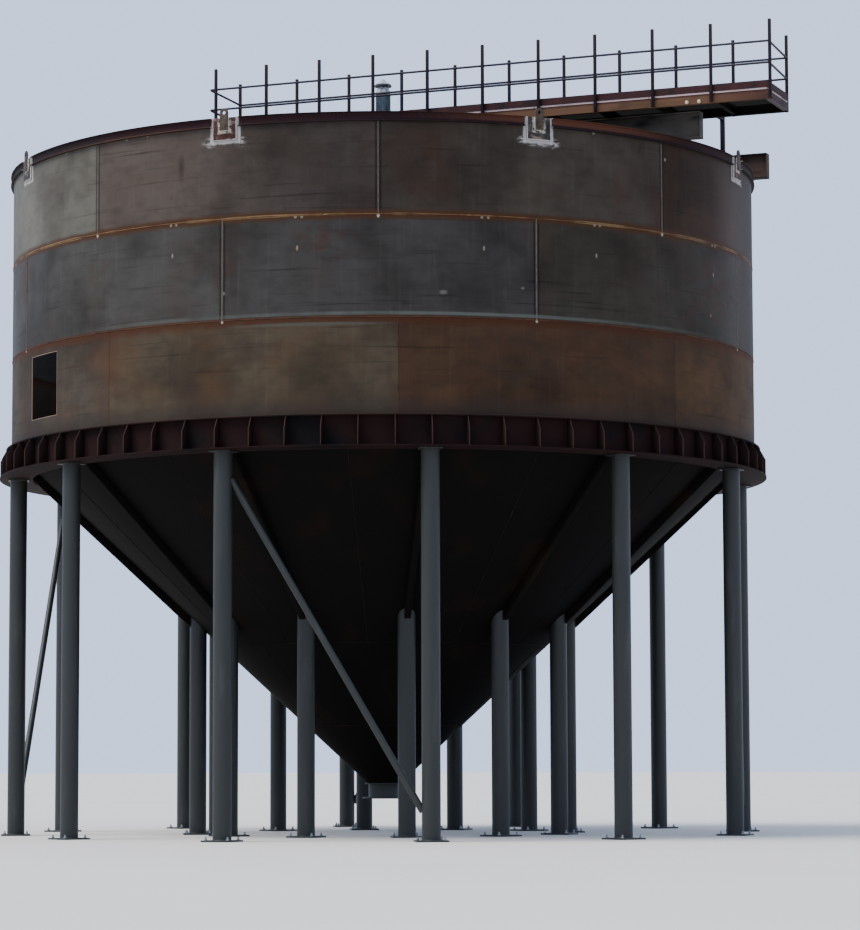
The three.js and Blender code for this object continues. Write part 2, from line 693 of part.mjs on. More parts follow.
// Everything on the column grid turns together by a small angle from the bridge
function buildSupports() {
  const supports = new THREE.Group();
  supports.rotation.z = degToRad(COLUMN_GRID_TURN);
  supports.add(
    named("ring_girder", ringGirder(), darkSteel),
    named("cone_upper", upperCone(), darkSteel),
    named("cone_lower", conePlate(CONE_JOINT_RADIUS, CONE_TIP_RADIUS, LOWER_CONE_SIDES), darkSteel),
    named("cone_tip", conePlate(CONE_TIP_RADIUS, CONE_OUTLET_RADIUS, LOWER_CONE_SIDES), darkSteel),
    named("underflow_outlet", underflowOutlet(), slatePaint),
  );
  const rings = [["outer_column", outerColumn()], ["inner_column", innerColumn()]];
  for (const [name, geometry] of rings) {
    for (let i = 0; i < COLUMN_COUNT; i += 1) {
      const mesh = named(`${name}_${String(i + 1).padStart(2, "0")}`, geometry, slatePaint);
      mesh.rotation.z = degToRad((360 / COLUMN_COUNT) * i);
      supports.add(mesh);
    }
  }
  for (let i = 0; i < BRACE_COUNT; i += 1) {
    supports.add(named(`brace_${i + 1}`, brace((360 / BRACE_COUNT) * i), slatePaint));
  }
  return supports;
}

function buildBridge() {
  const bridge = new THREE.Group();
  bridge.add(
    named("bridge_girder_near", bridgeGirder(-BRIDGE_GIRDER_Y), darkSteel),
    named("bridge_girder_far", bridgeGirder(BRIDGE_GIRDER_Y), darkSteel),
    named("walkway_frame", walkwayFrame(), rustedPlate),
    named("walkway_deck", walkwayDeck(), galvanised),
    named("toe_board_near", nearToeBoard(), primer),
    named("toe_board_far", farToeBoard(), primer),
    named("handrail_near", nearHandrail(), darkPaint),
    named("handrail_far", farHandrail(), darkPaint),
    named("walkway_leg", walkwayLeg(), darkPaint),
    named("drive_base", driveBase(), darkSteel),
    named("gear_unit", gearUnit(), motorPaint),
    named("drive_motor", driveMotor(), motorPaint),
  );
  return bridge;
}

// The tank's axis stands off the origin so that the origin is under the middle of the whole box
const tank = new THREE.Group();
tank.add(buildVessel(), buildSupports(), buildBridge());
tank.updateMatrixWorld(true);
const reach = new THREE.Box3().setFromObject(tank, true);
tank.position.x = -(reach.min.x + reach.max.x) / 2;

export default tank;
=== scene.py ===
# Elevated cone-bottom steel water tank: the finish of every surface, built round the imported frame.
# Metres, +Z up. Shapes are made with the tank's own axis at x = 0 and are moved to AXIS_X at the end.
import math

import bmesh
import bpy
from bpy.props import FloatProperty, FloatVectorProperty, IntProperty, PointerProperty
from mathutils import Matrix, Vector, noise


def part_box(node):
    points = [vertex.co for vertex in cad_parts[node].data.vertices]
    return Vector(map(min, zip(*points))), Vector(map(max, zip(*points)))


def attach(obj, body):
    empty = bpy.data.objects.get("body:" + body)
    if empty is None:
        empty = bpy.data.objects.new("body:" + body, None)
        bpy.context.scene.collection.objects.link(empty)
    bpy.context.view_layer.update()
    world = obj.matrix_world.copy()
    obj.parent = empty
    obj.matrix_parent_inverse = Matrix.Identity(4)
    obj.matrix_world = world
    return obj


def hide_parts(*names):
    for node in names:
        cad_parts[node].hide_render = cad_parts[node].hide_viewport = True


bl_info = {
    "name": "Cone-bottom steel water tank",
    "version": (1, 0, 0),
    "blender": (4, 5, 0),
    "location": "View3D > Sidebar > Tank",
    "description": "Builds the plates, sections, welds and finishes of an elevated steel water tank",
    "category": "Object",
}

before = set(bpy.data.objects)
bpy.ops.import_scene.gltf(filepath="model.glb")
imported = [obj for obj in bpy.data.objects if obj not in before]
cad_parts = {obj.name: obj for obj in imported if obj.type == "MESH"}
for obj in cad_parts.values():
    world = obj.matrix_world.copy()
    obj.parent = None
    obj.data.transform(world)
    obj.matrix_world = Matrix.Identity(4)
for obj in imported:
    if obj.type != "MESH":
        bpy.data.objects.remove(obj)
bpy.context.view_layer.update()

# Sizes that the frame gives
TOP_COURSE_LOW, TOP_COURSE_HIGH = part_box("shell_course_top")
BOTTOM_COURSE_LOW, BOTTOM_COURSE_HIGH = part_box("shell_course_bottom")
CURB_LOW, CURB_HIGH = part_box("curb_ring")
LUG_LOW, LUG_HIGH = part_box("lifting_lug_1")
RING_LOW, RING_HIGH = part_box("ring_girder")
OUTLET_LOW, OUTLET_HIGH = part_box("underflow_outlet")
NEAR_GIRDER_LOW, NEAR_GIRDER_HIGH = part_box("bridge_girder_near")
WALK_LOW, WALK_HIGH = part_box("walkway_frame")
DECK_LOW, DECK_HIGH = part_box("walkway_deck")
TOE_LOW, TOE_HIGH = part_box("toe_board_near")
RAIL_LOW, RAIL_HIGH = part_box("handrail_near")
LEG_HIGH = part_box("walkway_leg")[1]
BASE_LOW, BASE_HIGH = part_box("drive_base")
GEAR_LOW, GEAR_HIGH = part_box("gear_unit")
MOTOR_LOW, MOTOR_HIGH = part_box("drive_motor")

AXIS_X = (TOP_COURSE_LOW.x + TOP_COURSE_HIGH.x) / 2
GAP = 0.0003
SHELL_RADIUS = (TOP_COURSE_HIGH.x - TOP_COURSE_LOW.x) / 2
RIM_Z = TOP_COURSE_HIGH.z
HIGH_SEAM_Z = TOP_COURSE_LOW.z
LOW_SEAM_Z = BOTTOM_COURSE_HIGH.z
WALL_FOOT_Z = BOTTOM_COURSE_LOW.z

# Wall: plates of an eighth of the round, with the courses' upright seams set over each other's middles
SHELL_PLATE = 0.010
PLATES_ROUND = 8
PLATE_TURN = 360 / PLATES_ROUND
OUTER_COURSE_SEAM = PLATE_TURN / 2 - 0.5
MIDDLE_COURSE_SEAM = -0.4
BOTTOM_COURSE_SEAM = -20.3
ARC_METRES = math.radians(1) * SHELL_RADIUS
ACCESS_ANGLE = -127.85
ACCESS_WIDTH = 0.942
ACCESS_SILL_Z = 6.417
ACCESS_HEAD_Z = 7.388

# Marks on the wall: angle in degrees round the axis from +X, height, half width and half height
CLEAT_ANGLES = (
    -144.0, -98.3, -79.15, -53.0, -35.5, -9.5, 10.0, 35.5, 54.5, 80.5, 99.5, 125.5, 144.5, 170.5,
)
CLEAT_SCARS = [
    (angle + aside / ARC_METRES, z, wide, tall)
    for angle in CLEAT_ANGLES
    for aside, z, wide, tall in (
        (-0.048, 9.025, 0.026, 0.026), (0.048, 9.025, 0.024, 0.024), (-0.02, 8.570, 0.020, 0.042),
    )
]
TOP_MARKS = [
    (-22.2, 10.170, 0.024, 0.030), (-121.0, 10.400, 0.025, 0.020), (-107.0, 10.400, 0.030, 0.018),
    (-103.0, 10.405, 0.022, 0.022), (-36.0, 10.400, 0.025, 0.020),
]
SEAM_FEET = [
    *[(OUTER_COURSE_SEAM + PLATE_TURN * plate, 9.030, 0.026, 0.040) for plate in range(-4, 4)],
    *[(MIDDLE_COURSE_SEAM + PLATE_TURN * plate, 7.535, 0.022, 0.034) for plate in range(-3, 5)],
]
MIDDLE_MARKS = [
    (-90.2, 7.950, 0.028, 0.028), (-59.0, 7.910, 0.060, 0.035), (-47.5, 8.010, 0.030, 0.022),
    (-10.6, 7.930, 0.026, 0.026),
]
RUST_PATCHES = [
    (-61.0, 9.850, 0.60, 0.65), (-29.0, 9.550, 0.62, 0.50), (-6.0, 9.300, 0.80, 0.35),
    (-76.0, 8.650, 0.45, 0.22), (6.0, 8.600, 0.35, 0.90), (-9.0, 8.200, 0.90, 0.60),
]
# Painted sheen: lighter patches at the wall's left and right edges stand in for the sky's sheen where the
# wall is seen at a grazing angle
PAINTED_EDGE_SHEEN = [(-133.0, 9.650, 1.000, 1.300), (-1.0, 8.900, 0.650, 1.900)]
# Water smears, the last entry a broad painted shade that darkens the right of the second plate, where less
# light falls
WATER_SMEARS_AND_SHADE = [(-97.0, 9.860, 0.05, 0.20), (-78.5, 9.700, 0.06, 0.50), (-75.0, 9.700, 1.70, 1.20)]
CHALK_REACH = [(-62.0, 7.580, 3.900, 2.000), (118.0, 7.580, 3.900, 2.000)]
CHALK_LINE = [(-77.5, 7.450, 1.250, 0.030)]
WASH_SMEARS = [
    (-87.7, 10.190, 0.080, 0.080), (-42.6, 10.180, 0.090, 0.065), (-92.4, 10.200, 0.110, 0.070),
    (-47.3, 10.205, 0.090, 0.055), (2.4, 10.190, 0.070, 0.060), (-45.0, 10.165, 0.200, 0.045),
]
CURB_FOOT_RUST = [(-113.0, RIM_Z, 2.30, 1.0), (60.0, RIM_Z, 4.0, 1.0)]
CURB_HEAD_RUST = [(-40.0, RIM_Z, 1.90, 1.0), (150.0, RIM_Z, 3.0, 1.0)]

# Curb channel and lifting lugs
CURB_WEB = 0.006
CURB_FLANGE = 0.008
CURB_TOE = 0.003
CURB_ROOT = 0.007
LUG_COUNT = 8
LUG_TURN = 360 / LUG_COUNT
NOTCH_HALF = 0.210
NOTCH_BITE = 0.001
PAD_WIDTH = LUG_HIGH.y - LUG_LOW.y
PAD_FOOT_Z = LUG_LOW.z
PAD_THICKNESS = 0.020
EAR_WIDTH = 0.130
EAR_THICKNESS = 0.025
EAR_DROP = 0.190
EYE_RADIUS = 0.026

# Supports: everything on the column grid turns by a small angle from the bridge
GRID_TURN = -0.75
RING_RADIUS = (RING_HIGH.x - RING_LOW.x) / 2
RING_WEB = 0.016
RING_FLANGE = 0.020
RING_TOP_FLANGE_RADIUS = 6.087
RING_INNER_RADIUS = 5.660
RING_EDGE = 0.002
RING_ROOT = 0.006
GUSSET_COUNT = 72
GUSSET_THICKNESS = 0.012
GUSSET_SHOULDER_Z = 5.940
GUSSET_SNIPE = 0.025
GUSSET_INSET = 0.010
GUSSET_HEAD_INSET = 0.004
CONE_TOP_Z = WALL_FOOT_Z - GAP
CONE_TOP_RADIUS = SHELL_RADIUS - SHELL_PLATE - GAP
CONE_SLOPE = 0.93
CONE_PLATE = 0.012
CONE_JOINT_RADIUS = 2.600
CONE_TIP_RADIUS = 1.250
CONE_OUTLET_RADIUS = 0.270
CONE_RATIO = math.hypot(1, CONE_SLOPE)
CONE_WIDTH = CONE_PLATE * CONE_RATIO / CONE_SLOPE
CONE_SEAM_INSET = 0.050
CONE_SEAM_TURN = -12.75
CONE_LOWER_SEAM_COUNT = 6
CONE_LOWER_SEAM_TURN = 5.0
RIB_INSET = 0.006
RIB_WIDTH = 0.100
RIB_DEPTH = 0.120
OUTLET_BORE = 0.244
OUTLET_WALL = 0.010
OUTLET_FLANGE = 0.025
OUTLET_COLLAR = 0.040
OUTLET_COLLAR_THICKNESS = 0.016
COLUMN_COUNT = 12
COLUMN_RADIUS = 0.1365
COLUMN_SIDES = 40
OUTER_COLUMN_RADIUS = 5.880
INNER_COLUMN_RADIUS = 3.000
BASE_PLATE = 0.460
BASE_PLATE_THICKNESS = 0.025
ANCHOR_EDGE = 0.055
CAP_PLATE = 0.330
CAP_PLATE_THICKNESS = 0.020
BRACE_RADIUS = 0.050
BRACE_COUNT = 4
BRACE_TOP_Z = 5.450
BRACE_FOOT_Z = 0.220

# Bridge, walkway and drive
GIRDER_FLANGE = 0.014
GIRDER_WEB = 0.010
GIRDER_ROOT = 0.012
STIFFENER = 0.010
STIFFENER_INSET = 0.006
BAY = 0.9142
BAY_COUNT = 10
POST = 0.045
POST_CORNER = 0.006
POST_BOLT_RISES = (0.030, 0.100)
SECOND_POST_X = -0.9518
NEAR_END_POSTS_X = (-1.833, 7.276)
FAR_END_POSTS_X = (-1.963, 7.204)
NEAR_RAIL_START_X = -1.926
NEAR_END_RAIL_X = -1.905
END_RAIL_DROP = 0.015
CHANNEL_FLANGE_WIDTH = 0.065
SIDE_CHANNEL_DEPTH = 0.140
CROSS_CHANNEL_DEPTH = 0.125
CHANNEL_WEB = 0.007
CHANNEL_FLANGE = 0.009
CHANNEL_ROOT = 0.008
TOE_THICKNESS = 0.006
GRATING_BAR = 0.005
GRATING_ROD = 0.007
WALKWAY_END_X = DECK_HIGH.x - AXIS_X + TOE_THICKNESS + GAP
LAMPS_X = (5.98, 6.17)
LAMP_Z = 10.972
LAMP_RADIUS = 0.028
NEAR_RAILS_Z = (11.802, 11.476)
FAR_RAILS_Z = (11.783, 11.457)
RAIL_RADIUS = 0.017
LEG_RADIUS = 6.028
LEG_ANGLE = -6.5
LEG_SIZE = 0.065
LEG_CORNER = 0.008
LEG_ARM = 0.050
LEG_ARM_CORNER = 0.006
DRIVE_BEAM_X = 0.450
DRIVE_BEAM_WIDTH = 0.150
DRIVE_BEAM_DEPTH = 0.200
DRIVE_BEAM_FLANGE = 0.011
DRIVE_BEAM_WEB = 0.008
DRIVE_PLATE_THICKNESS = 0.020
DRIVE_PLATE_HALF = 0.400
DRIVE_BOLT_ASIDE = 0.045
DRIVE_BOLT_EDGE = 0.050
TURNED_SIDES = 64
GEAR_RADIUS = 0.230
GEAR_NECK_RADIUS = 0.170
GEAR_RIB_COUNT = 8
GEAR_RIB_THICKNESS = 0.012
ADAPTER_RADIUS = 0.162
ADAPTER_THICKNESS = 0.020
MOTOR_RADIUS = 0.122
MOTOR_TOP_Z = 12.100
MOTOR_FIN_THICKNESS = 0.004
COWL_TOP_RADIUS = 0.075
HOOD_RADIUS = 0.140
HOOD_FOOT_Z = 12.185

# The photograph's view: the camera stands on the ground beside the tank and looks up at it
CAMERA_DISTANCE = 52.20
CAMERA_AZIMUTH = 22.71
CAMERA_HEIGHT = 1.09
CAMERA_YAW = 0.824
CAMERA_PITCH = 5.318
CAMERA_ROLL = -0.182
CAMERA_LENS_MM = 124.88
CAMERA_SENSOR_MM = 36.0

# The stage
FLOOR_REACH = 400.0
SKY_STRENGTH = 2.0
SUN_STRENGTH = 4.5
SUN_SPREAD = 35
SUN_COLOUR = (1.0, 0.96, 0.90)
SUN_DIRECTION = (0.55, 0.45, -1.0)


def hex_colour(code):
    """An sRGB hex code as linear red, green, blue and alpha"""
    channels = [int(code[at:at + 2], 16) / 255 for at in (1, 3, 5)]
    return (*[c / 12.92 if c <= 0.04045 else ((c + 0.055) / 1.055) ** 2.4 for c in channels], 1.0)


def paint_of(code):
    """A colour from its hex code, or from its name among the tank's own colours"""
    return hex_colour(code) if code.startswith("#") else getattr(bpy.context.scene.tank_colours, code)


def colour_property(name, description, code):
    """What every colour of the tank shares"""
    return FloatVectorProperty(
        name=name, description=description, default=hex_colour(code),
        subtype="COLOR", size=4, min=0.0, max=1.0,
    )


class TankSizes(bpy.types.PropertyGroup):
    """Sizes of the detail that the frame doesn't hold"""

    wall_sides: IntProperty(
        name="Wall sides", description="Faces round the wall, the rings and the cone",
        default=360, min=72, max=720,
    )
    plate_wave: FloatProperty(
        name="Plate wave", description="How far the rolled wall plates stray inwards from the round",
        default=0.003, min=0.0, max=0.02, unit="LENGTH",
    )
    bead_radius: FloatProperty(
        name="Weld bead radius", description="Half the width of a weld bead",
        default=0.008, min=0.003, max=0.02, unit="LENGTH",
    )
    bead_step: FloatProperty(
        name="Weld bead step", description="Distance between the ripples that are modelled on a bead",
        default=0.045, min=0.01, max=0.2, unit="LENGTH",
    )
    bead_unevenness: FloatProperty(
        name="Weld unevenness", description="How much a bead's thickness varies, as a share",
        default=0.22, min=0.0, max=0.6, subtype="FACTOR",
    )
    bearing_bar_pitch: FloatProperty(
        name="Bearing bar pitch", description="Spacing of the grating's bearing bars",
        default=0.040, min=0.02, max=0.1, unit="LENGTH",
    )
    cross_rod_pitch: FloatProperty(
        name="Cross rod pitch", description="Spacing of the grating's cross rods",
        default=0.100, min=0.03, max=0.2, unit="LENGTH",
    )
    anchor_bolt: FloatProperty(
        name="Anchor bolt", description="Diameter of the column feet's anchor bolts",
        default=0.024, min=0.012, max=0.05, unit="LENGTH",
    )
    frame_bolt: FloatProperty(
        name="Frame bolt", description="Diameter of the walkway's and the drive's bolts",
        default=0.014, min=0.008, max=0.03, unit="LENGTH",
    )
    motor_fins: IntProperty(
        name="Motor fins", description="Cooling fins round the drive motor",
        default=30, min=12, max=60,
    )


class TankColours(bpy.types.PropertyGroup):
    """Base colours of the coated parts, of the bare parts in the shade and of the stage"""

    # Underside steel is kept near black as painted shade under the tank
    underside: colour_property("Underside steel", "Cone and ring girder", "#0D0B0A")
    girder: colour_property("Bridge girders", "Scaled rolled girders", "#43403C")
    primer: colour_property("Primer", "Iron oxide primer of toe boards and side channels", "#30191A")
    channel: colour_property("Walkway channels", "Tan flash rust of the side channels", "#5D4331")
    column: colour_property("Columns", "Slate coating of columns and braces", "#232523")
    post: colour_property("Posts", "Dark coating of handrail posts and leg", "#1A0E12")
    drive: colour_property("Drive", "Machine enamel of gear unit and motor", "#59656C")
    floor: colour_property("Floor", "The plain floor under the tank", "#CBC6BD")
    sky: colour_property("Sky", "The soft light all round", "#B9C9E9")


# Node trees

def socket_of(sockets, key):
    """The socket in use by that number or name"""
    if isinstance(key, int):
        return sockets[key]
    return next(socket for socket in sockets if socket.enabled and socket.name == key)


def add_node(tree, kind, settings=None, links=None):
    """Adds a node with its properties and values, and links inputs to sockets or to nodes' first outputs"""
    node = tree.nodes.new(kind)
    for key, value in (settings or {}).items():
        if isinstance(key, str) and hasattr(node, key):
            setattr(node, key, value)
        else:
            socket_of(node.inputs, key).default_value = value
    for key, source in (links or {}).items():
        if isinstance(source, bpy.types.Node):
            source = next(socket for socket in source.outputs if socket.enabled)
        tree.links.new(source, socket_of(node.inputs, key))
    return node


def new_finish(name, roughness, metallic=0.0, ior=1.5, specular=0.5):
    """An empty material with its tree, its shader and its Object coordinates"""
    finish = bpy.data.materials.new(name)
    finish.use_nodes = True
    tree = finish.node_tree
    shader = tree.nodes["Principled BSDF"]
    shader.inputs["Roughness"].default_value = roughness
    shader.inputs["Metallic"].default_value = metallic
    shader.inputs["IOR"].default_value = ior
    shader.inputs["Specular IOR Level"].default_value = specular
    return finish, tree, shader, add_node(tree, "ShaderNodeTexCoord").outputs["Object"]


def made_once(maker):
    """The finish that a maker makes, named after it and made on first use"""
    return bpy.data.materials.get(maker.__name__) or maker(maker.__name__)


def clouds(tree, coords, size, low, high, stretch=(1, 1, 1), shift=0.0, most=1.0):
    """A mask from 0 to most of soft patches of that size in metres, longer where stretch is more than 1"""
    placed = add_node(tree, "ShaderNodeMapping", {
        "Location": (shift, shift, shift),
        "Scale": tuple(1 / (size * s) for s in stretch),
    }, {"Vector": coords})
    pattern = add_node(tree, "ShaderNodeTexNoise", {"Scale": 1.0, "Detail": 4.0}, {"Vector": placed})
    return add_node(tree, "ShaderNodeMapRange", {
        "interpolation_type": "SMOOTHSTEP", "From Min": low, "From Max": high, "To Max": most,
    }, {"Value": pattern})


def layered(tree, shader, base, layers):
    """Paints layers over a base, a colour or a node, and gives them to the shader. A layer is a colour, its
    mask or the list of masks that have to meet, and perhaps how it blends."""
    colour = base
    for paint, masks, *blend in layers:
        mask, *others = masks if isinstance(masks, list) else [masks]
        for other in others:
            mask = add_node(tree, "ShaderNodeMath", {"operation": "MULTIPLY"}, {0: mask, 1: other})
        settings = {"data_type": "RGBA", "blend_type": blend[0] if blend else "MIX", "B": paint_of(paint)}
        links = {"Factor": mask}
        if isinstance(colour, bpy.types.Node):
            links["A"] = colour
        else:
            settings["A"] = paint_of(colour)
        colour = add_node(tree, "ShaderNodeMix", settings, links)
    tree.links.new(next(s for s in colour.outputs if s.enabled), shader.inputs["Base Color"])


def textured(tree, shader, coords, grains):
    """Bump from noise, each grain as its size and depth in metres"""
    normal = None
    for size, depth in grains:
        pattern = add_node(tree, "ShaderNodeTexNoise", {"Scale": 1 / size, "Detail": 3.0}, {
            "Vector": coords,
        })
        links = {"Height": pattern}
        if normal:
            links["Normal"] = normal
        normal = add_node(tree, "ShaderNodeBump", {"Distance": depth}, links)
    tree.links.new(normal.outputs["Normal"], shader.inputs["Normal"])


def roughened(tree, shader, mask, smooth, rough):
    """Roughness that runs from smooth to rough with a mask"""
    spread = add_node(tree, "ShaderNodeMapRange", {"To Min": smooth, "To Max": rough}, {"Value": mask})
    tree.links.new(spread.outputs["Result"], shader.inputs["Roughness"])


def clouded(name, base, patches, grains, roughness, **shine):
    """A finish of clouds alone, each given as a colour, its size, low and high, and what else it takes"""
    finish, tree, shader, coords = new_finish(name, roughness, **shine)
    layered(tree, shader, base, [
        (paint, clouds(tree, coords, size, low, high, **dict(*more)))
        for paint, size, low, high, *more in patches
    ])
    if grains:
        textured(tree, shader, coords, grains)
    return finish


def wall_degrees(tree, coords):
    """Angle round the tank's axis in degrees"""
    place = add_node(tree, "ShaderNodeSeparateXYZ", links={"Vector": coords})
    across = add_node(tree, "ShaderNodeMath", {"operation": "SUBTRACT", 1: AXIS_X}, {0: place.outputs["X"]})
    angle = add_node(tree, "ShaderNodeMath", {"operation": "ARCTAN2"}, {0: place.outputs["Y"], 1: across})
    return add_node(tree, "ShaderNodeMath", {"operation": "DEGREES"}, {0: angle})


def height_of(tree, coords):
    """Height, as a socket"""
    return add_node(tree, "ShaderNodeSeparateXYZ", links={"Vector": coords}).outputs["Z"]


def reach_from(tree, coords, first, turn):
    """Distance along the wall to the nearest of the lines that stand every turn degrees from first"""
    shifted = add_node(tree, "ShaderNodeMath", {"operation": "SUBTRACT", 1: first}, {
        0: wall_degrees(tree, coords),
    })
    folded = add_node(tree, "ShaderNodeMath", {"operation": "PINGPONG", 1: turn / 2}, {0: shifted})
    return add_node(tree, "ShaderNodeMath", {"operation": "MULTIPLY", 1: ARC_METRES}, {0: folded})


def near_line(tree, coords, distance, reach, blur, size, wander, most=1.0):
    """A mask up to most of what lies within reach of a line, whose edge wanders by noise of that size"""
    pattern = add_node(tree, "ShaderNodeTexNoise", {"Scale": 1 / size, "Detail": 4.0}, {"Vector": coords})
    strayed = add_node(tree, "ShaderNodeMath", {"operation": "MULTIPLY_ADD", 1: 2 * wander}, {
        0: pattern, 2: distance,
    })
    return add_node(tree, "ShaderNodeMapRange", {
        "interpolation_type": "SMOOTHSTEP",
        "From Min": reach + wander + blur, "From Max": reach + wander - blur, "To Max": most,
    }, {"Value": strayed})


def level_band(tree, coords, low, high, blur, wander, most=1.0):
    """A mask of what lies between two heights, with wandering edges"""
    away = add_node(tree, "ShaderNodeMath", {"operation": "SUBTRACT", 1: (low + high) / 2}, {
        0: height_of(tree, coords),
    })
    distance = add_node(tree, "ShaderNodeMath", {"operation": "ABSOLUTE"}, {0: away})
    return near_line(tree, coords, distance, (high - low) / 2, blur, 0.25, wander, most)


def marks(tree, coords, places, blur=0.2):
    """A mask of small marks with ragged edges, each its angle, height, half width and half height"""
    spot = add_node(tree, "ShaderNodeCombineXYZ", links={
        "X": wall_degrees(tree, coords), "Y": height_of(tree, coords),
    })
    nearest = None
    for angle, rise, half_width, half_height in places:
        half_angle = half_width / ARC_METRES
        placed = add_node(tree, "ShaderNodeMapping", {
            "Location": (-angle / half_angle, -rise / half_height, 0),
            "Scale": (1 / half_angle, 1 / half_height, 1),
        }, {"Vector": spot})
        away = add_node(tree, "ShaderNodeVectorMath", {"operation": "LENGTH"}, {0: placed})
        if nearest:
            away = add_node(tree, "ShaderNodeMath", {"operation": "MINIMUM"}, {0: nearest, 1: away})
        nearest = away
    return near_line(tree, coords, nearest, 0.85, blur, 0.03, 0.3)


def round_lug(tree, coords, half, foot, middle):
    """Distance from the line that runs that far outside an upright strip on each lug"""
    sideways = reach_from(tree, coords, 0.0, LUG_TURN)
    beside = add_node(tree, "ShaderNodeMath", {"operation": "SUBTRACT", 1: half}, {0: sideways})
    under = add_node(tree, "ShaderNodeMath", {"operation": "SUBTRACT", 0: foot}, {
        1: height_of(tree, coords),
    })
    outside = add_node(tree, "ShaderNodeMath", {"operation": "MAXIMUM"}, {0: beside, 1: under})
    away = add_node(tree, "ShaderNodeMath", {"operation": "SUBTRACT", 1: middle}, {0: outside})
    return add_node(tree, "ShaderNodeMath", {"operation": "ABSOLUTE"}, {0: away})


def plate_tones(tree, coords, first, tones):
    """A tone for each plate, repeating round the tank"""
    turn = PLATE_TURN * len(tones)
    shifted = add_node(tree, "ShaderNodeMath", {"operation": "SUBTRACT", 1: first}, {
        0: wall_degrees(tree, coords),
    })
    wrapped = add_node(tree, "ShaderNodeMath", {"operation": "WRAP", 1: turn, 2: 0.0}, {0: shifted})
    share = add_node(tree, "ShaderNodeMath", {"operation": "DIVIDE", 1: turn}, {0: wrapped})
    ramp = add_node(tree, "ShaderNodeValToRGB", links={"Fac": share})
    ramp.color_ramp.interpolation = "CONSTANT"
    stops = ramp.color_ramp.elements
    while len(stops) < len(tones):
        stops.new(0.5)
    for index, tone in enumerate(tones):
        stops[index].position = index / len(tones)
        stops[index].color = hex_colour(tone)
    return ramp


# Finishes

# A tone for each plate of a course, the four towards the front first
TOP_TONES = ["#535047", "#483F38", "#3B352D", "#2F2114", "#423A32", "#473F38", "#3D362F", "#3F3329"]
MIDDLE_TONES = ["#3A3834", "#35322F", "#302C24", "#2E2519", "#353129", "#383632", "#33302B", "#3B3935"]
BOTTOM_TONES = ["#3D362D", "#42392C", "#3A291B", "#45321E", "#3F3024", "#43382C", "#3B2D20", "#403225"]

# The unevenness of rolled plate, as sizes and depths
PLATE_GRAINS = [(0.5, 0.0015), (0.012, 0.0004)]


def rolled_plate_layers(tree, coords, first_seam):
    """What every course of hot-rolled plate shows: broad clouds in the mill scale, faint upright water
    streaks, level roller marks and rust that creeps from the upright seams"""
    seam = reach_from(tree, coords, first_seam, PLATE_TURN)
    creep = near_line(tree, coords, seam, 0.25, 0.18, 0.5, 0.2, most=0.5)
    return [
        ("#CBC7C3", clouds(tree, coords, 1.3, 0.40, 0.66, shift=7.0), "MULTIPLY"),
        ("#E6E5E4", clouds(tree, coords, 0.30, 0.40, 0.75, stretch=(1, 1, 0.5), shift=17.0), "MULTIPLY"),
        ("#171614", clouds(tree, coords, 0.06, 0.50, 0.85, stretch=(1, 1, 18), shift=3.0), "ADD"),
        ("#AEACAA", clouds(tree, coords, 0.04, 0.58, 0.82, stretch=(40, 40, 1), shift=5.0), "MULTIPLY"),
        ("#38281F", clouds(tree, coords, 1.1, 0.50, 0.78, stretch=(1, 1, 0.6), most=0.35)),
        ("#36221A", [creep, clouds(tree, coords, 0.5, 0.45, 0.70, stretch=(1, 1, 2), shift=11.0)]),
    ]


def dressed_seam_layers(tree, coords, first_seam):
    """The ground strip along upright seams, in a darker band of heated scale"""
    seam = reach_from(tree, coords, first_seam, PLATE_TURN)
    return [
        ("#A6A29E", near_line(tree, coords, seam, 0.045, 0.014, 0.3, 0.004), "MULTIPLY"),
        ("#575046", near_line(tree, coords, seam, 0.014, 0.012, 0.08, 0.006, most=0.75)),
    ]


def top_course_scale(name):
    """The top course: warm grey-brown mill scale, a rust band along its foot and, round the lug pads, a
    halo of ground metal under white inspection wash."""
    finish, tree, shader, coords = new_finish(name, 0.6, specular=0.08)
    base = plate_tones(tree, coords, OUTER_COURSE_SEAM - 4 * PLATE_TURN, TOP_TONES)
    beside_pad = round_lug(tree, coords, PAD_WIDTH / 2, PAD_FOOT_Z, 0.026)
    washed = add_node(tree, "ShaderNodeMath", {"operation": "MULTIPLY"}, {
        0: marks(tree, coords, WASH_SMEARS, 0.6),
        1: clouds(tree, coords, 0.03, 0.38, 0.62, stretch=(3, 3, 1), most=0.8),
    })
    white = add_node(tree, "ShaderNodeMath", {"operation": "MAXIMUM"}, {
        0: near_line(tree, coords, beside_pad, 0.030, 0.016, 0.07, 0.022, most=0.9),
        1: washed,
    })
    layered(tree, shader, base, [
        *rolled_plate_layers(tree, coords, OUTER_COURSE_SEAM),
        *dressed_seam_layers(tree, coords, OUTER_COURSE_SEAM),
        ("#3B241A", [
            marks(tree, coords, RUST_PATCHES, 0.8),
            clouds(tree, coords, 0.60, 0.30, 0.66, stretch=(1, 1, 1.6), shift=13.0, most=0.6),
        ]),
        # Water smears, and a broad painted shade over the right of the second plate
        ("#BDBDC0", marks(tree, coords, WATER_SMEARS_AND_SHADE, 0.9), "MULTIPLY"),
        # Painted sheen at the wall's left and right edges
        ("#2D2B28", marks(tree, coords, PAINTED_EDGE_SHEEN, 0.95), "ADD"),
        ("#3A2414", level_band(tree, coords, HIGH_SEAM_Z - 0.1, HIGH_SEAM_Z + 0.055, 0.04, 0.03)),
        ("#7C6444", [
            level_band(tree, coords, HIGH_SEAM_Z - 0.1, HIGH_SEAM_Z + 0.018, 0.008, 0.006),
            clouds(tree, coords, 0.9, 0.44, 0.60, shift=41.0, most=0.8),
        ]),
        ("#6E675E", marks(tree, coords, TOP_MARKS)),
        ("#A39F9A", white),
    ])
    roughened(tree, shader, white, 0.58, 0.8)
    textured(tree, shader, coords, PLATE_GRAINS)
    return finish


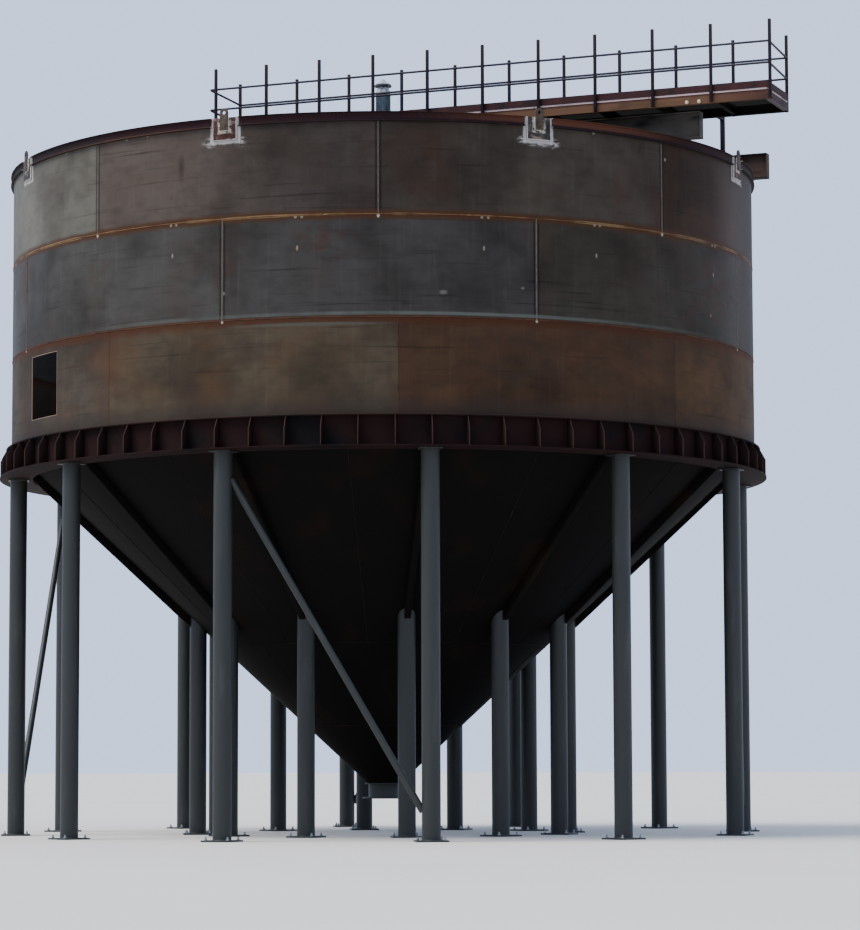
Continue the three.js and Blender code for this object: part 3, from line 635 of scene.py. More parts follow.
def middle_course_scale(name):
    """The middle course: cold grey scale with a pale chalky band along its foot, scars of cut-off cleats
    near its head and the odd chalk mark."""
    finish, tree, shader, coords = new_finish(name, 0.6, specular=0.08)
    base = plate_tones(tree, coords, MIDDLE_COURSE_SEAM - 3 * PLATE_TURN, MIDDLE_TONES)
    layered(tree, shader, base, [
        *rolled_plate_layers(tree, coords, MIDDLE_COURSE_SEAM),
        *dressed_seam_layers(tree, coords, MIDDLE_COURSE_SEAM),
        # Painted sheen at the wall's right edge
        ("#2D2B28", marks(tree, coords, PAINTED_EDGE_SHEEN[1:], 0.95), "ADD"),
        ("#0C0D0E", clouds(tree, coords, 0.8, 0.45, 0.74, shift=23.0), "ADD"),
        ("#3B241A", [
            marks(tree, coords, RUST_PATCHES, 0.8),
            clouds(tree, coords, 0.15, 0.42, 0.66, shift=13.0, most=0.7),
        ]),
        ("#3A2414", level_band(tree, coords, HIGH_SEAM_Z - 0.065, HIGH_SEAM_Z + 0.1, 0.045, 0.03)),
        ("#7C6444", [
            level_band(tree, coords, HIGH_SEAM_Z - 0.018, HIGH_SEAM_Z + 0.1, 0.008, 0.006),
            clouds(tree, coords, 0.9, 0.44, 0.60, shift=41.0, most=0.8),
        ]),
        ("#51544D", [
            level_band(tree, coords, LOW_SEAM_Z + 0.028, LOW_SEAM_Z + 0.076, 0.014, 0.008, most=0.85),
            marks(tree, coords, CHALK_REACH, 0.9),
            clouds(tree, coords, 0.8, 0.20, 0.55, shift=37.0),
        ]),
        ("#3A1F10", level_band(
            tree, coords, LOW_SEAM_Z - 0.1, LOW_SEAM_Z + 0.022, 0.012, 0.012, most=0.85,
        )),
        ("#6C6352", marks(tree, coords, CLEAT_SCARS)),
        ("#55514A", marks(tree, coords, MIDDLE_MARKS, 0.5)),
        ("#8F887C", marks(tree, coords, SEAM_FEET)),
    ])
    textured(tree, shader, coords, PLATE_GRAINS)
    return finish


def bottom_course_rust(name):
    """The bottom course: scale bloomed to brown rust, redder under the seam, with dust at its foot and pale
    flame-cut edges round the access opening."""
    finish, tree, shader, coords = new_finish(name, 0.75, specular=0.1)
    base = plate_tones(tree, coords, BOTTOM_COURSE_SEAM - 3 * PLATE_TURN, BOTTOM_TONES)
    aside = add_node(tree, "ShaderNodeMath", {"operation": "SUBTRACT", 1: ACCESS_ANGLE}, {
        0: wall_degrees(tree, coords),
    })
    across = add_node(tree, "ShaderNodeMath", {"operation": "ABSOLUTE"}, {0: aside})
    beside = add_node(tree, "ShaderNodeMath", {
        "operation": "MULTIPLY_ADD", 1: ARC_METRES, 2: -ACCESS_WIDTH / 2,
    }, {0: across})
    rise = add_node(tree, "ShaderNodeMath", {
        "operation": "SUBTRACT", 1: (ACCESS_SILL_Z + ACCESS_HEAD_Z) / 2,
    }, {0: height_of(tree, coords)})
    over = add_node(tree, "ShaderNodeMath", {"operation": "ABSOLUTE"}, {0: rise})
    past = add_node(tree, "ShaderNodeMath", {
        "operation": "SUBTRACT", 1: (ACCESS_HEAD_Z - ACCESS_SILL_Z) / 2,
    }, {0: over})
    outside = add_node(tree, "ShaderNodeMath", {"operation": "MAXIMUM"}, {0: beside, 1: past})
    edge = add_node(tree, "ShaderNodeMath", {"operation": "ABSOLUTE"}, {0: outside})
    layered(tree, shader, base, [
        *rolled_plate_layers(tree, coords, BOTTOM_COURSE_SEAM),
        ("#4A3320", clouds(tree, coords, 1.0, 0.44, 0.76, stretch=(1, 1, 0.7), shift=31.0, most=0.5)),
        ("#2A211B", clouds(tree, coords, 0.7, 0.46, 0.76, stretch=(1, 1, 0.5), shift=47.0, most=0.45)),
        ("#4E2A18", clouds(tree, coords, 0.16, 0.64, 0.84, shift=53.0, most=0.35)),
        ("#3A1F10", level_band(tree, coords, LOW_SEAM_Z - 0.10, LOW_SEAM_Z + 0.1, 0.07, 0.06, most=0.85)),
        ("#423F36", marks(tree, coords, CHALK_LINE, 0.4)),
        ("#8F887C", marks(tree, coords, SEAM_FEET)),
        ("#2C2622", level_band(
            tree, coords, WALL_FOOT_Z - 0.1, WALL_FOOT_Z + 0.20, 0.12, 0.05, most=0.5,
        )),
        ("#4A3A33", level_band(
            tree, coords, WALL_FOOT_Z - 0.05, WALL_FOOT_Z + 0.016, 0.008, 0.006, most=0.7,
        )),
        ("#8C7365", near_line(tree, coords, edge, 0.006, 0.003, 0.05, 0.004)),
    ])
    textured(tree, shader, coords, PLATE_GRAINS)
    return finish


def curb_primer(name):
    """Shop primer on the rolled curb: matt maroon, weathered black-grey on some lengths and rusting, with a
    painted shadow line along its lower flange.
    """
    finish, tree, shader, coords = new_finish(name, 0.75, specular=0.15)
    base = plate_tones(tree, coords, -157.5, ["#1E1212", "#251013", "#220E12", "#240F11"])
    beside_pad = round_lug(tree, coords, PAD_WIDTH / 2, PAD_FOOT_Z, 0.012)
    layered(tree, shader, base, [
        ("#1C1514", clouds(tree, coords, 0.45, 0.50, 0.72, shift=9.0)),
        ("#573A26", [
            level_band(tree, coords, CURB_LOW.z - 0.01, CURB_LOW.z + 0.024, 0.010, 0.008),
            marks(tree, coords, CURB_FOOT_RUST, 0.6),
        ]),
        ("#573322", [
            level_band(tree, coords, CURB_LOW.z + 0.045, CURB_HIGH.z + 0.1, 0.015, 0.010, most=0.7),
            marks(tree, coords, CURB_HEAD_RUST, 0.6),
        ]),
        # Painted shadow line along the curb's lower flange
        ("#150F0F", level_band(
            tree, coords, CURB_LOW.z - 0.05, CURB_LOW.z + 0.008, 0.003, 0.003, most=0.8,
        )),
        ("#4A2A22", clouds(tree, coords, 0.12, 0.60, 0.80, most=0.5)),
        ("#A39F9A", near_line(tree, coords, beside_pad, 0.018, 0.012, 0.05, 0.012, most=0.9)),
    ])
    textured(tree, shader, coords, [(0.006, 0.0002)])
    return finish


def iron_oxide_primer(name):
    """Shop primer on toe boards: matt dark maroon, rubbed at handling marks and rusting in spots."""
    return clouded(name, "primer", [
        ("#452420", 0.20, 0.50, 0.75, {"shift": 2.0, "most": 0.6}),
        ("#1E1415", 0.30, 0.52, 0.72, {"shift": 9.0}),
        ("#5E4037", 0.04, 0.68, 0.82, {"shift": 4.0}),
    ], [(0.006, 0.0002)], 0.75, specular=0.15)


def lug_pad_steel(name):
    """Lug pads of thick plate: some primed maroon, some bare dark scale, all ground bright and chalked
    white along their edges."""
    finish, tree, shader, coords = new_finish(name, 0.7, specular=0.15)
    base = plate_tones(tree, coords, -112.5, ["#38201C", "#2E2C2B", "#33241F", "#2E2C2B"])
    beside_ear = round_lug(tree, coords, EAR_WIDTH / 2, RIM_Z - EAR_DROP, 0.020)
    inside_edge = round_lug(tree, coords, PAD_WIDTH / 2, PAD_FOOT_Z, 0.0)
    layered(tree, shader, base, [
        ("#1E1513", clouds(tree, coords, 0.12, 0.52, 0.70, shift=6.0, most=0.8)),
        ("#7A6A5C", clouds(tree, coords, 0.07, 0.50, 0.74, stretch=(2, 2, 1), most=0.8)),
        ("#A89C8C", [
            near_line(tree, coords, beside_ear, 0.020, 0.014, 0.05, 0.02),
            clouds(tree, coords, 0.05, 0.36, 0.60, shift=14.0, most=0.85),
        ]),
        ("#A39F9A", near_line(tree, coords, inside_edge, 0.004, 0.006, 0.05, 0.010)),
    ])
    textured(tree, shader, coords, [(0.010, 0.0004)])
    return finish


def lug_ear_steel(name):
    """Lug ears: flame-cut plate left bare, olive brown with rust and pale grinding marks."""
    return clouded(name, "#40352A", [
        ("#2B1F1A", 0.06, 0.48, 0.70),
        ("#6E6456", 0.03, 0.62, 0.80, {"shift": 4.0, "most": 0.8}),
    ], [(0.006, 0.0003)], 0.65, specular=0.2)


def painted_shade_underside_plate(name):
    """Rolled plate under the tank: scale painted almost black as the shade there, with brown rust runs."""
    return clouded(name, "underside", [
        ("#191009", 0.8, 0.54, 0.76, {"stretch": (1, 1, 1.8), "most": 0.8}),
        ("#1E150F", 0.06, 0.68, 0.82, {"shift": 1.0}),
    ], [(0.4, 0.001), (0.010, 0.0004)], 0.8, specular=0.06)


def ring_primer_in_painted_shade(name):
    """The ring girder's web and flanges: dark oxide primer, painted nearly black as the shade under the
    tank.
    """
    return clouded(name, "#1E0F0E", [
        ("#0D0B0B", 0.7, 0.48, 0.70, {"shift": 3.0}),
        ("#2A1A14", 0.10, 0.66, 0.82, {"shift": 1.0}),
    ], [(0.010, 0.0004)], 0.8, specular=0.08)


def primed_gusset_plate(name):
    """Gussets: oxide primer kept near black as painted shade under the tank, with flame-cut edges rubbed to
    a paler brown, which read as upright lines.
    """
    finish, tree, shader, coords = new_finish(name, 0.75, specular=0.12)
    place = add_node(tree, "ShaderNodeSeparateXYZ", links={"Vector": coords})
    across = add_node(tree, "ShaderNodeMath", {"operation": "SUBTRACT", 1: AXIS_X}, {0: place.outputs["X"]})
    flat = add_node(tree, "ShaderNodeCombineXYZ", links={"X": across, "Y": place.outputs["Y"]})
    radius = add_node(tree, "ShaderNodeVectorMath", {"operation": "LENGTH"}, {0: flat})
    lean = (RING_RADIUS - RING_TOP_FLANGE_RADIUS) / (RING_HIGH.z - GUSSET_SHOULDER_Z)
    slope = add_node(tree, "ShaderNodeMath", {
        "operation": "MULTIPLY_ADD", 1: -lean, 2: RING_TOP_FLANGE_RADIUS + lean * RING_HIGH.z,
    }, {0: place.outputs["Z"]})
    edge = add_node(tree, "ShaderNodeMath", {
        "operation": "MINIMUM", 1: RING_RADIUS - GUSSET_INSET,
    }, {0: slope})
    inside = add_node(tree, "ShaderNodeMath", {"operation": "SUBTRACT"}, {0: edge, 1: radius})
    layered(tree, shader, "#1C0F0D", [
        ("#37241F", near_line(tree, coords, inside, 0.014, 0.003, 0.05, 0.002)),
    ])
    textured(tree, shader, coords, [(0.010, 0.0004)])
    return finish


def shaded_weld_metal(name):
    """Welds under the tank: beads painted as dark as the plate for the shade there, browned at their
    crests.
    """
    return clouded(name, "#171310", [
        ("#2E2219", 0.12, 0.52, 0.72),
    ], [(0.006, 0.0006)], 0.8, specular=0.08)


def scaled_girder_steel(name):
    """Unpainted rolled girder: dark grey-brown scale with rust freckles and darker streaks along its
    length.
    """
    return clouded(name, "girder", [
        ("#33271F", 0.35, 0.50, 0.72, {"stretch": (3, 1, 1), "most": 0.8}),
        ("#191816", 0.15, 0.55, 0.75, {"stretch": (4, 1, 1), "shift": 8.0}),
    ], [(0.010, 0.0004)], 0.65, specular=0.15)


def rusted_girder_steel(name):
    """The far girder: a web browned by rust between darker flanges."""
    finish, tree, shader, coords = new_finish(name, 0.75, specular=0.12)
    low, high = NEAR_GIRDER_LOW.z + GIRDER_FLANGE, NEAR_GIRDER_HIGH.z - GIRDER_FLANGE
    layered(tree, shader, "#1C1718", [
        ("#3D302A", level_band(tree, coords, low, high, 0.002, 0.001)),
        ("#2E2018", clouds(tree, coords, 0.15, 0.52, 0.74, stretch=(3, 1, 1), shift=8.0, most=0.8)),
    ])
    textured(tree, shader, coords, [(0.010, 0.0004)])
    return finish


def rusted_channel_steel(name):
    """The near side channel: maroon primer worn to tan flash rust, but for its head and its free end."""
    finish, tree, shader, coords = new_finish(name, 0.8, specular=0.12)
    place = add_node(tree, "ShaderNodeSeparateXYZ", links={"Vector": coords})
    worn = add_node(tree, "ShaderNodeMapRange", {
        "interpolation_type": "SMOOTHSTEP", "From Min": WALK_HIGH.z, "From Max": WALK_HIGH.z - 0.05,
    }, {"Value": place.outputs["Z"]})
    outwards = add_node(tree, "ShaderNodeMapRange", {
        "From Min": AXIS_X + 5.9, "From Max": AXIS_X + 7.1, "To Min": 1.0, "To Max": 0.3,
    }, {"Value": place.outputs["X"]})
    layered(tree, shader, "primer", [
        ("channel", [worn, outwards]),
        ("#2A1C16", clouds(tree, coords, 0.30, 0.50, 0.72, stretch=(3, 1, 1), shift=2.0, most=0.6)),
        ("#5C4230", clouds(tree, coords, 0.10, 0.62, 0.80, shift=5.0, most=0.7)),
    ])
    textured(tree, shader, coords, [(0.008, 0.0004)])
    return finish


def primed_channel_steel(name):
    """The end channel: greyish maroon primer with a light grey rubbed lower edge."""
    finish, tree, shader, coords = new_finish(name, 0.75, specular=0.15)
    foot = NEAR_GIRDER_HIGH.z
    layered(tree, shader, "#3A2829", [
        ("#241B1B", clouds(tree, coords, 0.15, 0.50, 0.72, stretch=(1, 3, 1))),
        ("#514B4C", level_band(tree, coords, foot - 0.02, foot + CHANNEL_FLANGE, 0.003, 0.002, most=0.8)),
    ])
    textured(tree, shader, coords, [(0.006, 0.0003)])
    return finish


def shaded_channel_steel(name):
    """Channels under the deck: bare scale painted dark as the shade under the deck."""
    return clouded(name, "#120E0C", [
        ("#20160F", 0.20, 0.54, 0.74, {"stretch": (1, 3, 1), "most": 0.8}),
    ], [(0.008, 0.0004)], 0.8, specular=0.08)


def slate_epoxy_coating(name):
    """Two-pack epoxy on columns: satin slate blue-grey with dust runs and scuffs at the foot."""
    return clouded(name, "column", [
        ("#373938", 0.12, 0.52, 0.80, {"stretch": (1, 1, 8), "most": 0.6}),
        ("#1D201F", 0.5, 0.50, 0.72, {"stretch": (1, 1, 3), "shift": 4.0, "most": 0.7}),
        ("#3E3832", 0.05, 0.70, 0.82, {"shift": 2.0}),
    ], [(0.020, 0.0001)], 0.5, ior=1.52, specular=0.3)


def dark_tube_coating(name):
    """Thin dark primer on handrail posts and the leg: dull purplish black with rust at edges."""
    return clouded(name, "post", [
        ("#2C1B18", 0.08, 0.58, 0.78),
        ("#100E0F", 0.15, 0.52, 0.72, {"shift": 3.0}),
    ], [(0.005, 0.00015)], 0.65, specular=0.15)


def bare_rail_tube(name):
    """Rails of drawn tube: dark slate, dull, with brown handling stains."""
    return clouded(name, "#2D2A31", [
        ("#2E2023", 0.15, 0.50, 0.72, {"stretch": (3, 1, 1)}),
    ], [(0.004, 0.0001)], 0.6, specular=0.15)


def hot_dip_zinc(name):
    """Hot-dip galvanised fasteners: dull grey metal with a spangle of pale flakes."""
    finish, tree, shader, coords = new_finish(name, 0.5, metallic=0.85)
    spangle = add_node(tree, "ShaderNodeTexVoronoi", {"Scale": 1 / 0.012}, {"Vector": coords})
    flakes = add_node(tree, "ShaderNodeMapRange", {"From Min": 0.2, "From Max": 0.8}, {
        "Value": spangle.outputs["Color"],
    })
    layered(tree, shader, "#7E8385", [
        ("#9A9D9D", flakes),
        ("#6E6558", clouds(tree, coords, 0.10, 0.60, 0.80)),
    ])
    textured(tree, shader, coords, [(0.006, 0.0001)])
    return finish


def painted_shade_zinc_bars(name):
    """Bearing bars of the grating: zinc painted dark as the shade seen from below the deck."""
    return clouded(name, "#161515", [
        ("#1F1B18", 0.10, 0.50, 0.74),
    ], [(0.006, 0.0001)], 0.7, specular=0.15)


def fresh_zinc_band(name):
    """The grating's edge band: new zinc, pale and dull, pinkish where primer dust has settled."""
    return clouded(name, "#B09A96", [
        ("#75655B", 0.25, 0.54, 0.74, {"stretch": (3, 1, 1)}),
    ], [(0.006, 0.0001)], 0.6, metallic=0.2, specular=0.4)


def ground_weld_metal(name):
    """Upright seams: beads dressed with a grinder, soft grey-beige with heat-stained ripples."""
    return clouded(name, "#5C554D", [
        ("#3E352F", 0.05, 0.50, 0.72, {"stretch": (1, 1, 2)}),
        ("#7E786F", 0.03, 0.64, 0.80, {"shift": 5.0}),
    ], [(0.006, 0.0006)], 0.6, metallic=0.2, specular=0.3)


def rusted_weld_metal(name):
    """Ring seams: beads left as welded and rusted orange, brighter where the bead is fresh."""
    return clouded(name, "#624528", [
        ("#3F2817", 0.40, 0.46, 0.66),
        ("#8A7050", 0.12, 0.60, 0.76, {"shift": 4.0}),
    ], [(0.006, 0.0006)], 0.75, specular=0.2)


def browned_weld_metal(name):
    """The lower ring seam: an older bead, rusted as brown as the plate beside it."""
    return clouded(name, "#48301F", [
        ("#2F2018", 0.25, 0.46, 0.66),
    ], [(0.006, 0.0006)], 0.8, specular=0.15)


def whitened_lug_weld(name):
    """Fillets round the lugs: bright ground metal under a chalky inspection wash."""
    return clouded(name, "#ABA6A0", [
        ("#6E665F", 0.04, 0.54, 0.74),
    ], [(0.006, 0.0008)], 0.7, metallic=0.1, specular=0.3)


def machine_enamel(name):
    """Brushing enamel on cast iron: blue-grey, satin, with grime in the hollows."""
    return clouded(name, "drive", [
        ("#394145", 0.06, 0.50, 0.72, {"stretch": (1, 1, 3)}),
        ("#6D7A81", 0.02, 0.66, 0.80, {"shift": 3.0}),
    ], [(0.003, 0.0001)], 0.45, ior=1.52, specular=0.4)


def pale_cowl_with_painted_reflection(name):
    """The motor's rain hood and cowl: pale grey enamel chalked by weather, its paleness partly a painted
    reflection of the sky, with a band of painted shade on the hood's brim.
    """
    finish, tree, shader, coords = new_finish(name, 0.5, ior=1.52, specular=0.4)
    layered(tree, shader, "#9A9DA2", [
        ("#5E6268", clouds(tree, coords, 0.05, 0.48, 0.66, stretch=(1, 1, 2))),
        # Painted shade on the hood's brim
        ("#2A2C2F", level_band(tree, coords, HOOD_FOOT_Z - 0.004, HOOD_FOOT_Z + 0.036, 0.002, 0.001)),
    ])
    textured(tree, shader, coords, [(0.003, 0.0001)])
    return finish


def cream_cap_plastic(name):
    """Moulded cap on the small fittings: cream, satin, a little yellowed."""
    return clouded(name, "#B4AC95", [
        ("#958A6C", 0.02, 0.50, 0.70),
    ], [(0.002, 0.00005)], 0.4, ior=1.46)


def pale_floor(name):
    """A plain floor: pale, matt, with the faintest cloud."""
    return clouded(name, "floor", [
        ("#C6C1B8", 6.0, 0.30, 0.80),
    ], [], 0.9, specular=0.2)


# Shapes: each is a list of points and a list of faces

X_AXIS = Vector((1, 0, 0))
Y_AXIS = Vector((0, 1, 0))
Z_AXIS = Vector((0, 0, 1))

# Angles between faces, in degrees, past which an edge is softened and past which it is shaded sharp
SOFTENED_ANGLE = 35
SHARP_ANGLE = 32

# A bolt's washer and head, as shares of its diameter
WASHER_RADIUS_SHARE = 1.05
WASHER_SHARE = 0.18
HEAD_RADIUS_SHARE = 0.90
HEAD_SHARE = 0.85


def circle(radius, sides):
    """Outline of a circle"""
    turns = [math.tau * i / sides for i in range(sides)]
    return [(radius * math.cos(turn), radius * math.sin(turn)) for turn in turns]


def rounded(corners, steps=2):
    """Outline whose corners, each (across, up, radius), are turned into arcs"""
    outline = []
    for index, (across, up, radius) in enumerate(corners):
        corner = Vector((across, up))
        if not radius:
            outline.append(tuple(corner))
            continue
        back = (Vector(corners[index - 1][:2]) - corner).normalized()
        ahead = (Vector(corners[(index + 1) % len(corners)][:2]) - corner).normalized()
        half = back.angle(ahead) / 2
        centre = corner + (back + ahead).normalized() * radius / math.sin(half)
        start = (corner + back * radius / math.tan(half) - centre).normalized()
        end = (corner + ahead * radius / math.tan(half) - centre).normalized()
        outline += [tuple(centre + start.slerp(end, step / steps) * radius) for step in range(steps + 1)]
    return outline


def rounded_box(width, height, radius, steps=2):
    """Outline of a rectangle about its own middle with rounded corners"""
    half, rise = width / 2, height / 2
    corners = [(-half, -rise), (half, -rise), (half, rise), (-half, rise)]
    return rounded([(across, up, radius) for across, up in corners], steps)


def i_section(width, depth, flange, web, root):
    """Rolled I-section about the middle of its foot"""
    half, side = width / 2, web / 2
    low, high = flange, depth - flange
    return rounded([
        (-half, 0, 0), (half, 0, 0), (half, low, 0), (side, low, root), (side, high, root), (half, high, 0),
        (half, depth, 0), (-half, depth, 0), (-half, high, 0), (-side, high, root), (-side, low, root),
        (-half, low, 0),
    ])


def channel_section(width, depth, web, flange, root, toe=0.003):
    """Rolled channel with its back at zero and its toes outwards"""
    return rounded([
        (0, 0, 0), (width, 0, 0), (width, flange, toe), (web, flange, root),
        (web, depth - flange, root), (width, depth - flange, toe), (width, depth, 0), (0, depth, 0),
    ])


def skinned(rows, closed=False):
    """Skins loops of points of the same length, with caps at both ends unless the loops come round again"""
    sides = len(rows[0])
    points = [point for row in rows for point in row]
    faces = []
    for row in range(len(rows) if closed else len(rows) - 1):
        following = (row + 1) % len(rows)
        for side in range(sides):
            beside = (side + 1) % sides
            faces.append(tuple(start * sides + corner for start, corner in (
                (row, side), (row, beside), (following, beside), (following, side),
            )))
    if not closed:
        faces.append(tuple(reversed(range(sides))))
        faces.append(tuple(range(len(points) - sides, len(points))))
    return points, faces


def swept(outline, stations, closed=False):
    """Runs an outline through stations, each (origin, across, up)"""
    return skinned([
        [origin + across * u + up * v for u, v in outline] for origin, across, up in stations
    ], closed)


def bar(outline, start, end, across, up):
    """A straight bar between two places"""
    return swept(outline, [(Vector(start), across, up), (Vector(end), across, up)])


def rod(start, end, radius, sides=16):
    """A round bar between two places"""
    run = (Vector(end) - Vector(start)).normalized()
    across = run.orthogonal().normalized()
    return bar(circle(radius, sides), start, end, across, run.cross(across))


def block(low, high):
    """A box between two corners"""
    (x0, y0, z0), (x1, y1, z1) = low, high
    corners = ((x0, y0), (x1, y0), (x1, y1), (x0, y1))
    return skinned([[Vector((x, y, z)) for x, y in corners] for z in (z0, z1)])


def lathed(profile, sides=48):
    """A solid turned about the axis from its profile of (radius, height)"""
    return swept(circle(1, sides), [
        (Z_AXIS * z, X_AXIS * radius, Y_AXIS * radius) for radius, z in profile
    ])


def round_section(outline, sides, start=0.0, end=360.0):
    """Runs an outline of (radius, height) round the axis, or along an arc of it"""
    closed = end - start >= 360
    count = sides if closed else max(2, math.ceil(sides * (end - start) / 360)) + 1
    step = (end - start) / (count if closed else count - 1)
    stations = []
    for index in range(count):
        stations.append((Vector(), heading(start + step * index), Z_AXIS))
    return swept(outline, stations, closed)


def radial_plate(outline, thickness):
    """A plate in the plane of +X and +Z, outlined by (radius, height)"""
    return skinned([
        [Vector((radius, side * thickness / 2, z)) for radius, z in outline] for side in (-1, 1)
    ])


def joined(*shapes):
    """Several shapes as one"""
    points, faces = [], []
    for more_points, more_faces in shapes:
        start = len(points)
        points += more_points
        faces += [tuple(start + corner for corner in face) for face in more_faces]
    return points, faces


def moved(shape, x=0.0, y=0.0, z=0.0, turn=0.0):
    """A shape turned about the axis and then shifted"""
    matrix = Matrix.Translation((x, y, z)) @ Matrix.Rotation(math.radians(turn), 4, "Z")
    return [matrix @ point for point in shape[0]], shape[1]


def heading(degrees):
    """Unit vector that points away from the axis"""
    return Vector((math.cos(math.radians(degrees)), math.sin(math.radians(degrees)), 0))


def path(lines, closed=False):
    """Bare lines of points, for a weld to run along"""
    points, edges = [], []
    for line in lines:
        start = len(points)
        points += line
        edges += [(start + i, start + i + 1) for i in range(len(line) - 1)]
        if closed:
            edges.append((len(points) - 1, start))
    mesh = bpy.data.meshes.new("path")
    mesh.from_pydata([tuple(point) for point in points], edges, [])
    return mesh


def solid(shape, maker, soft=0.0):
    """A mesh with one finish, its normals outwards and its edges softened by a small bevel"""
    mesh = bpy.data.meshes.new("solid")
    mesh.from_pydata([tuple(point) for point in shape[0]], [], shape[1])
    body = bmesh.new()
    body.from_mesh(mesh)
    bmesh.ops.recalc_face_normals(body, faces=body.faces)
    if soft:
        hard = [
            edge for edge in body.edges
            if edge.is_manifold and edge.calc_face_angle() > math.radians(SOFTENED_ANGLE)
        ]
        bmesh.ops.bevel(
            body, geom=hard, offset=soft, segments=2, profile=0.5, affect="EDGES", clamp_overlap=True,
        )
    body.to_mesh(mesh)
    body.free()
    mesh.materials.append(made_once(maker))
    return mesh


def piece(name, meshes, nodes=()):
    """Joins meshes into one piece at its place, which stands for those CAD nodes"""
    whole = bmesh.new()
    finishes = []
    for mesh in meshes:
        start = len(whole.faces)
        whole.from_mesh(mesh)
        whole.faces.ensure_lookup_table()
        for face in whole.faces[start:]:
            finish = mesh.materials[face.material_index]
            if finish not in finishes:
                finishes.append(finish)
            face.material_index = finishes.index(finish)
        bpy.data.meshes.remove(mesh)
    bmesh.ops.translate(whole, verts=whole.verts, vec=(AXIS_X, 0, 0))
    result = bpy.data.meshes.new(name)
    whole.to_mesh(result)
    whole.free()
    for finish in finishes:
        result.materials.append(finish)
    result.shade_smooth()
    result.set_sharp_from_angle(angle=math.radians(SHARP_ANGLE))
    thing = bpy.data.objects.new(name, result)
    bpy.context.scene.collection.objects.link(thing)
    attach(thing, "root")
    if nodes:
        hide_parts(*nodes)


# Geometry trees

def new_tree(name, inputs):
    """An empty geometry tree with named inputs, and its input and output nodes"""
    tree = bpy.data.node_groups.new(name, "GeometryNodeTree")
    tree.interface.new_socket("Geometry", in_out="INPUT", socket_type="NodeSocketGeometry")
    for label, kind in inputs:
        tree.interface.new_socket(label, in_out="INPUT", socket_type=kind)
    tree.interface.new_socket("Geometry", in_out="OUTPUT", socket_type="NodeSocketGeometry")
    return tree, add_node(tree, "NodeGroupInput"), add_node(tree, "NodeGroupOutput")


def finished_tree(tree, given, result, instances):
    """Ends a tree: instances made real, then their finish"""
    real = add_node(tree, "GeometryNodeRealizeInstances", links={"Geometry": instances})
    painted = add_node(tree, "GeometryNodeSetMaterial", links={
        "Geometry": real, "Material": given.outputs["Finish"],
    })
    tree.links.new(painted.outputs["Geometry"], result.inputs["Geometry"])
    return tree


def ring_tree():
    """Repeats a shape round the tank's axis"""
    tree, given, result = new_tree("Round the axis", [
        ("Count", "NodeSocketInt"), ("First turn", "NodeSocketFloat"), ("Finish", "NodeSocketMaterial"),
    ])
    step = add_node(tree, "ShaderNodeMath", {"operation": "DIVIDE", 0: math.tau}, {
        1: given.outputs["Count"],
    })
    index = add_node(tree, "GeometryNodeInputIndex")
    turn = add_node(tree, "ShaderNodeMath", {"operation": "MULTIPLY_ADD"}, {
        0: index, 1: step, 2: given.outputs["First turn"],
    })
    rotation = add_node(tree, "ShaderNodeCombineXYZ", links={"Z": turn})
    places = add_node(tree, "GeometryNodePoints", links={"Count": given.outputs["Count"]})
    copies = add_node(tree, "GeometryNodeInstanceOnPoints", links={
        "Points": places, "Instance": given.outputs["Geometry"], "Rotation": rotation,
    })
    return finished_tree(tree, given, result, copies)


def row_tree():
    """Repeats a shape in a row of equal steps"""
    tree, given, result = new_tree("In a row", [
        ("Count", "NodeSocketInt"), ("Step", "NodeSocketVector"), ("Finish", "NodeSocketMaterial"),
    ])
    line = add_node(tree, "GeometryNodeMeshLine", links={
        "Count": given.outputs["Count"], "Offset": given.outputs["Step"],
    })
    copies = add_node(tree, "GeometryNodeInstanceOnPoints", links={
        "Points": line, "Instance": given.outputs["Geometry"],
    })
    return finished_tree(tree, given, result, copies)


def weld_tree():
    """Lays a rippled bead along bare lines"""
    tree, given, result = new_tree("Weld bead", [
        ("Radius", "NodeSocketFloat"), ("Ripple step", "NodeSocketFloat"),
        ("Unevenness", "NodeSocketFloat"), ("Finish", "NodeSocketMaterial"),
    ])
    line = add_node(tree, "GeometryNodeMeshToCurve", links={"Mesh": given.outputs["Geometry"]})
    ripples = add_node(tree, "GeometryNodeResampleCurve", {"mode": "LENGTH"}, {
        "Curve": line, "Length": given.outputs["Ripple step"],
    })
    thin, thick = [
        add_node(tree, "ShaderNodeMath", {"operation": operation, 0: 1.0}, {1: given.outputs["Unevenness"]})
        for operation in ("SUBTRACT", "ADD")
    ]
    size = add_node(tree, "FunctionNodeRandomValue", {"data_type": "FLOAT", "Seed": 7}, {
        "Min": thin, "Max": thick,
    })
    profile = add_node(tree, "GeometryNodeCurvePrimitiveCircle", {"Resolution": 6}, {
        "Radius": given.outputs["Radius"],
    })
    bead = add_node(tree, "GeometryNodeCurveToMesh", {"Fill Caps": True}, {
        "Curve": ripples, "Profile Curve": profile, "Scale": size,
    })
    return finished_tree(tree, given, result, bead)


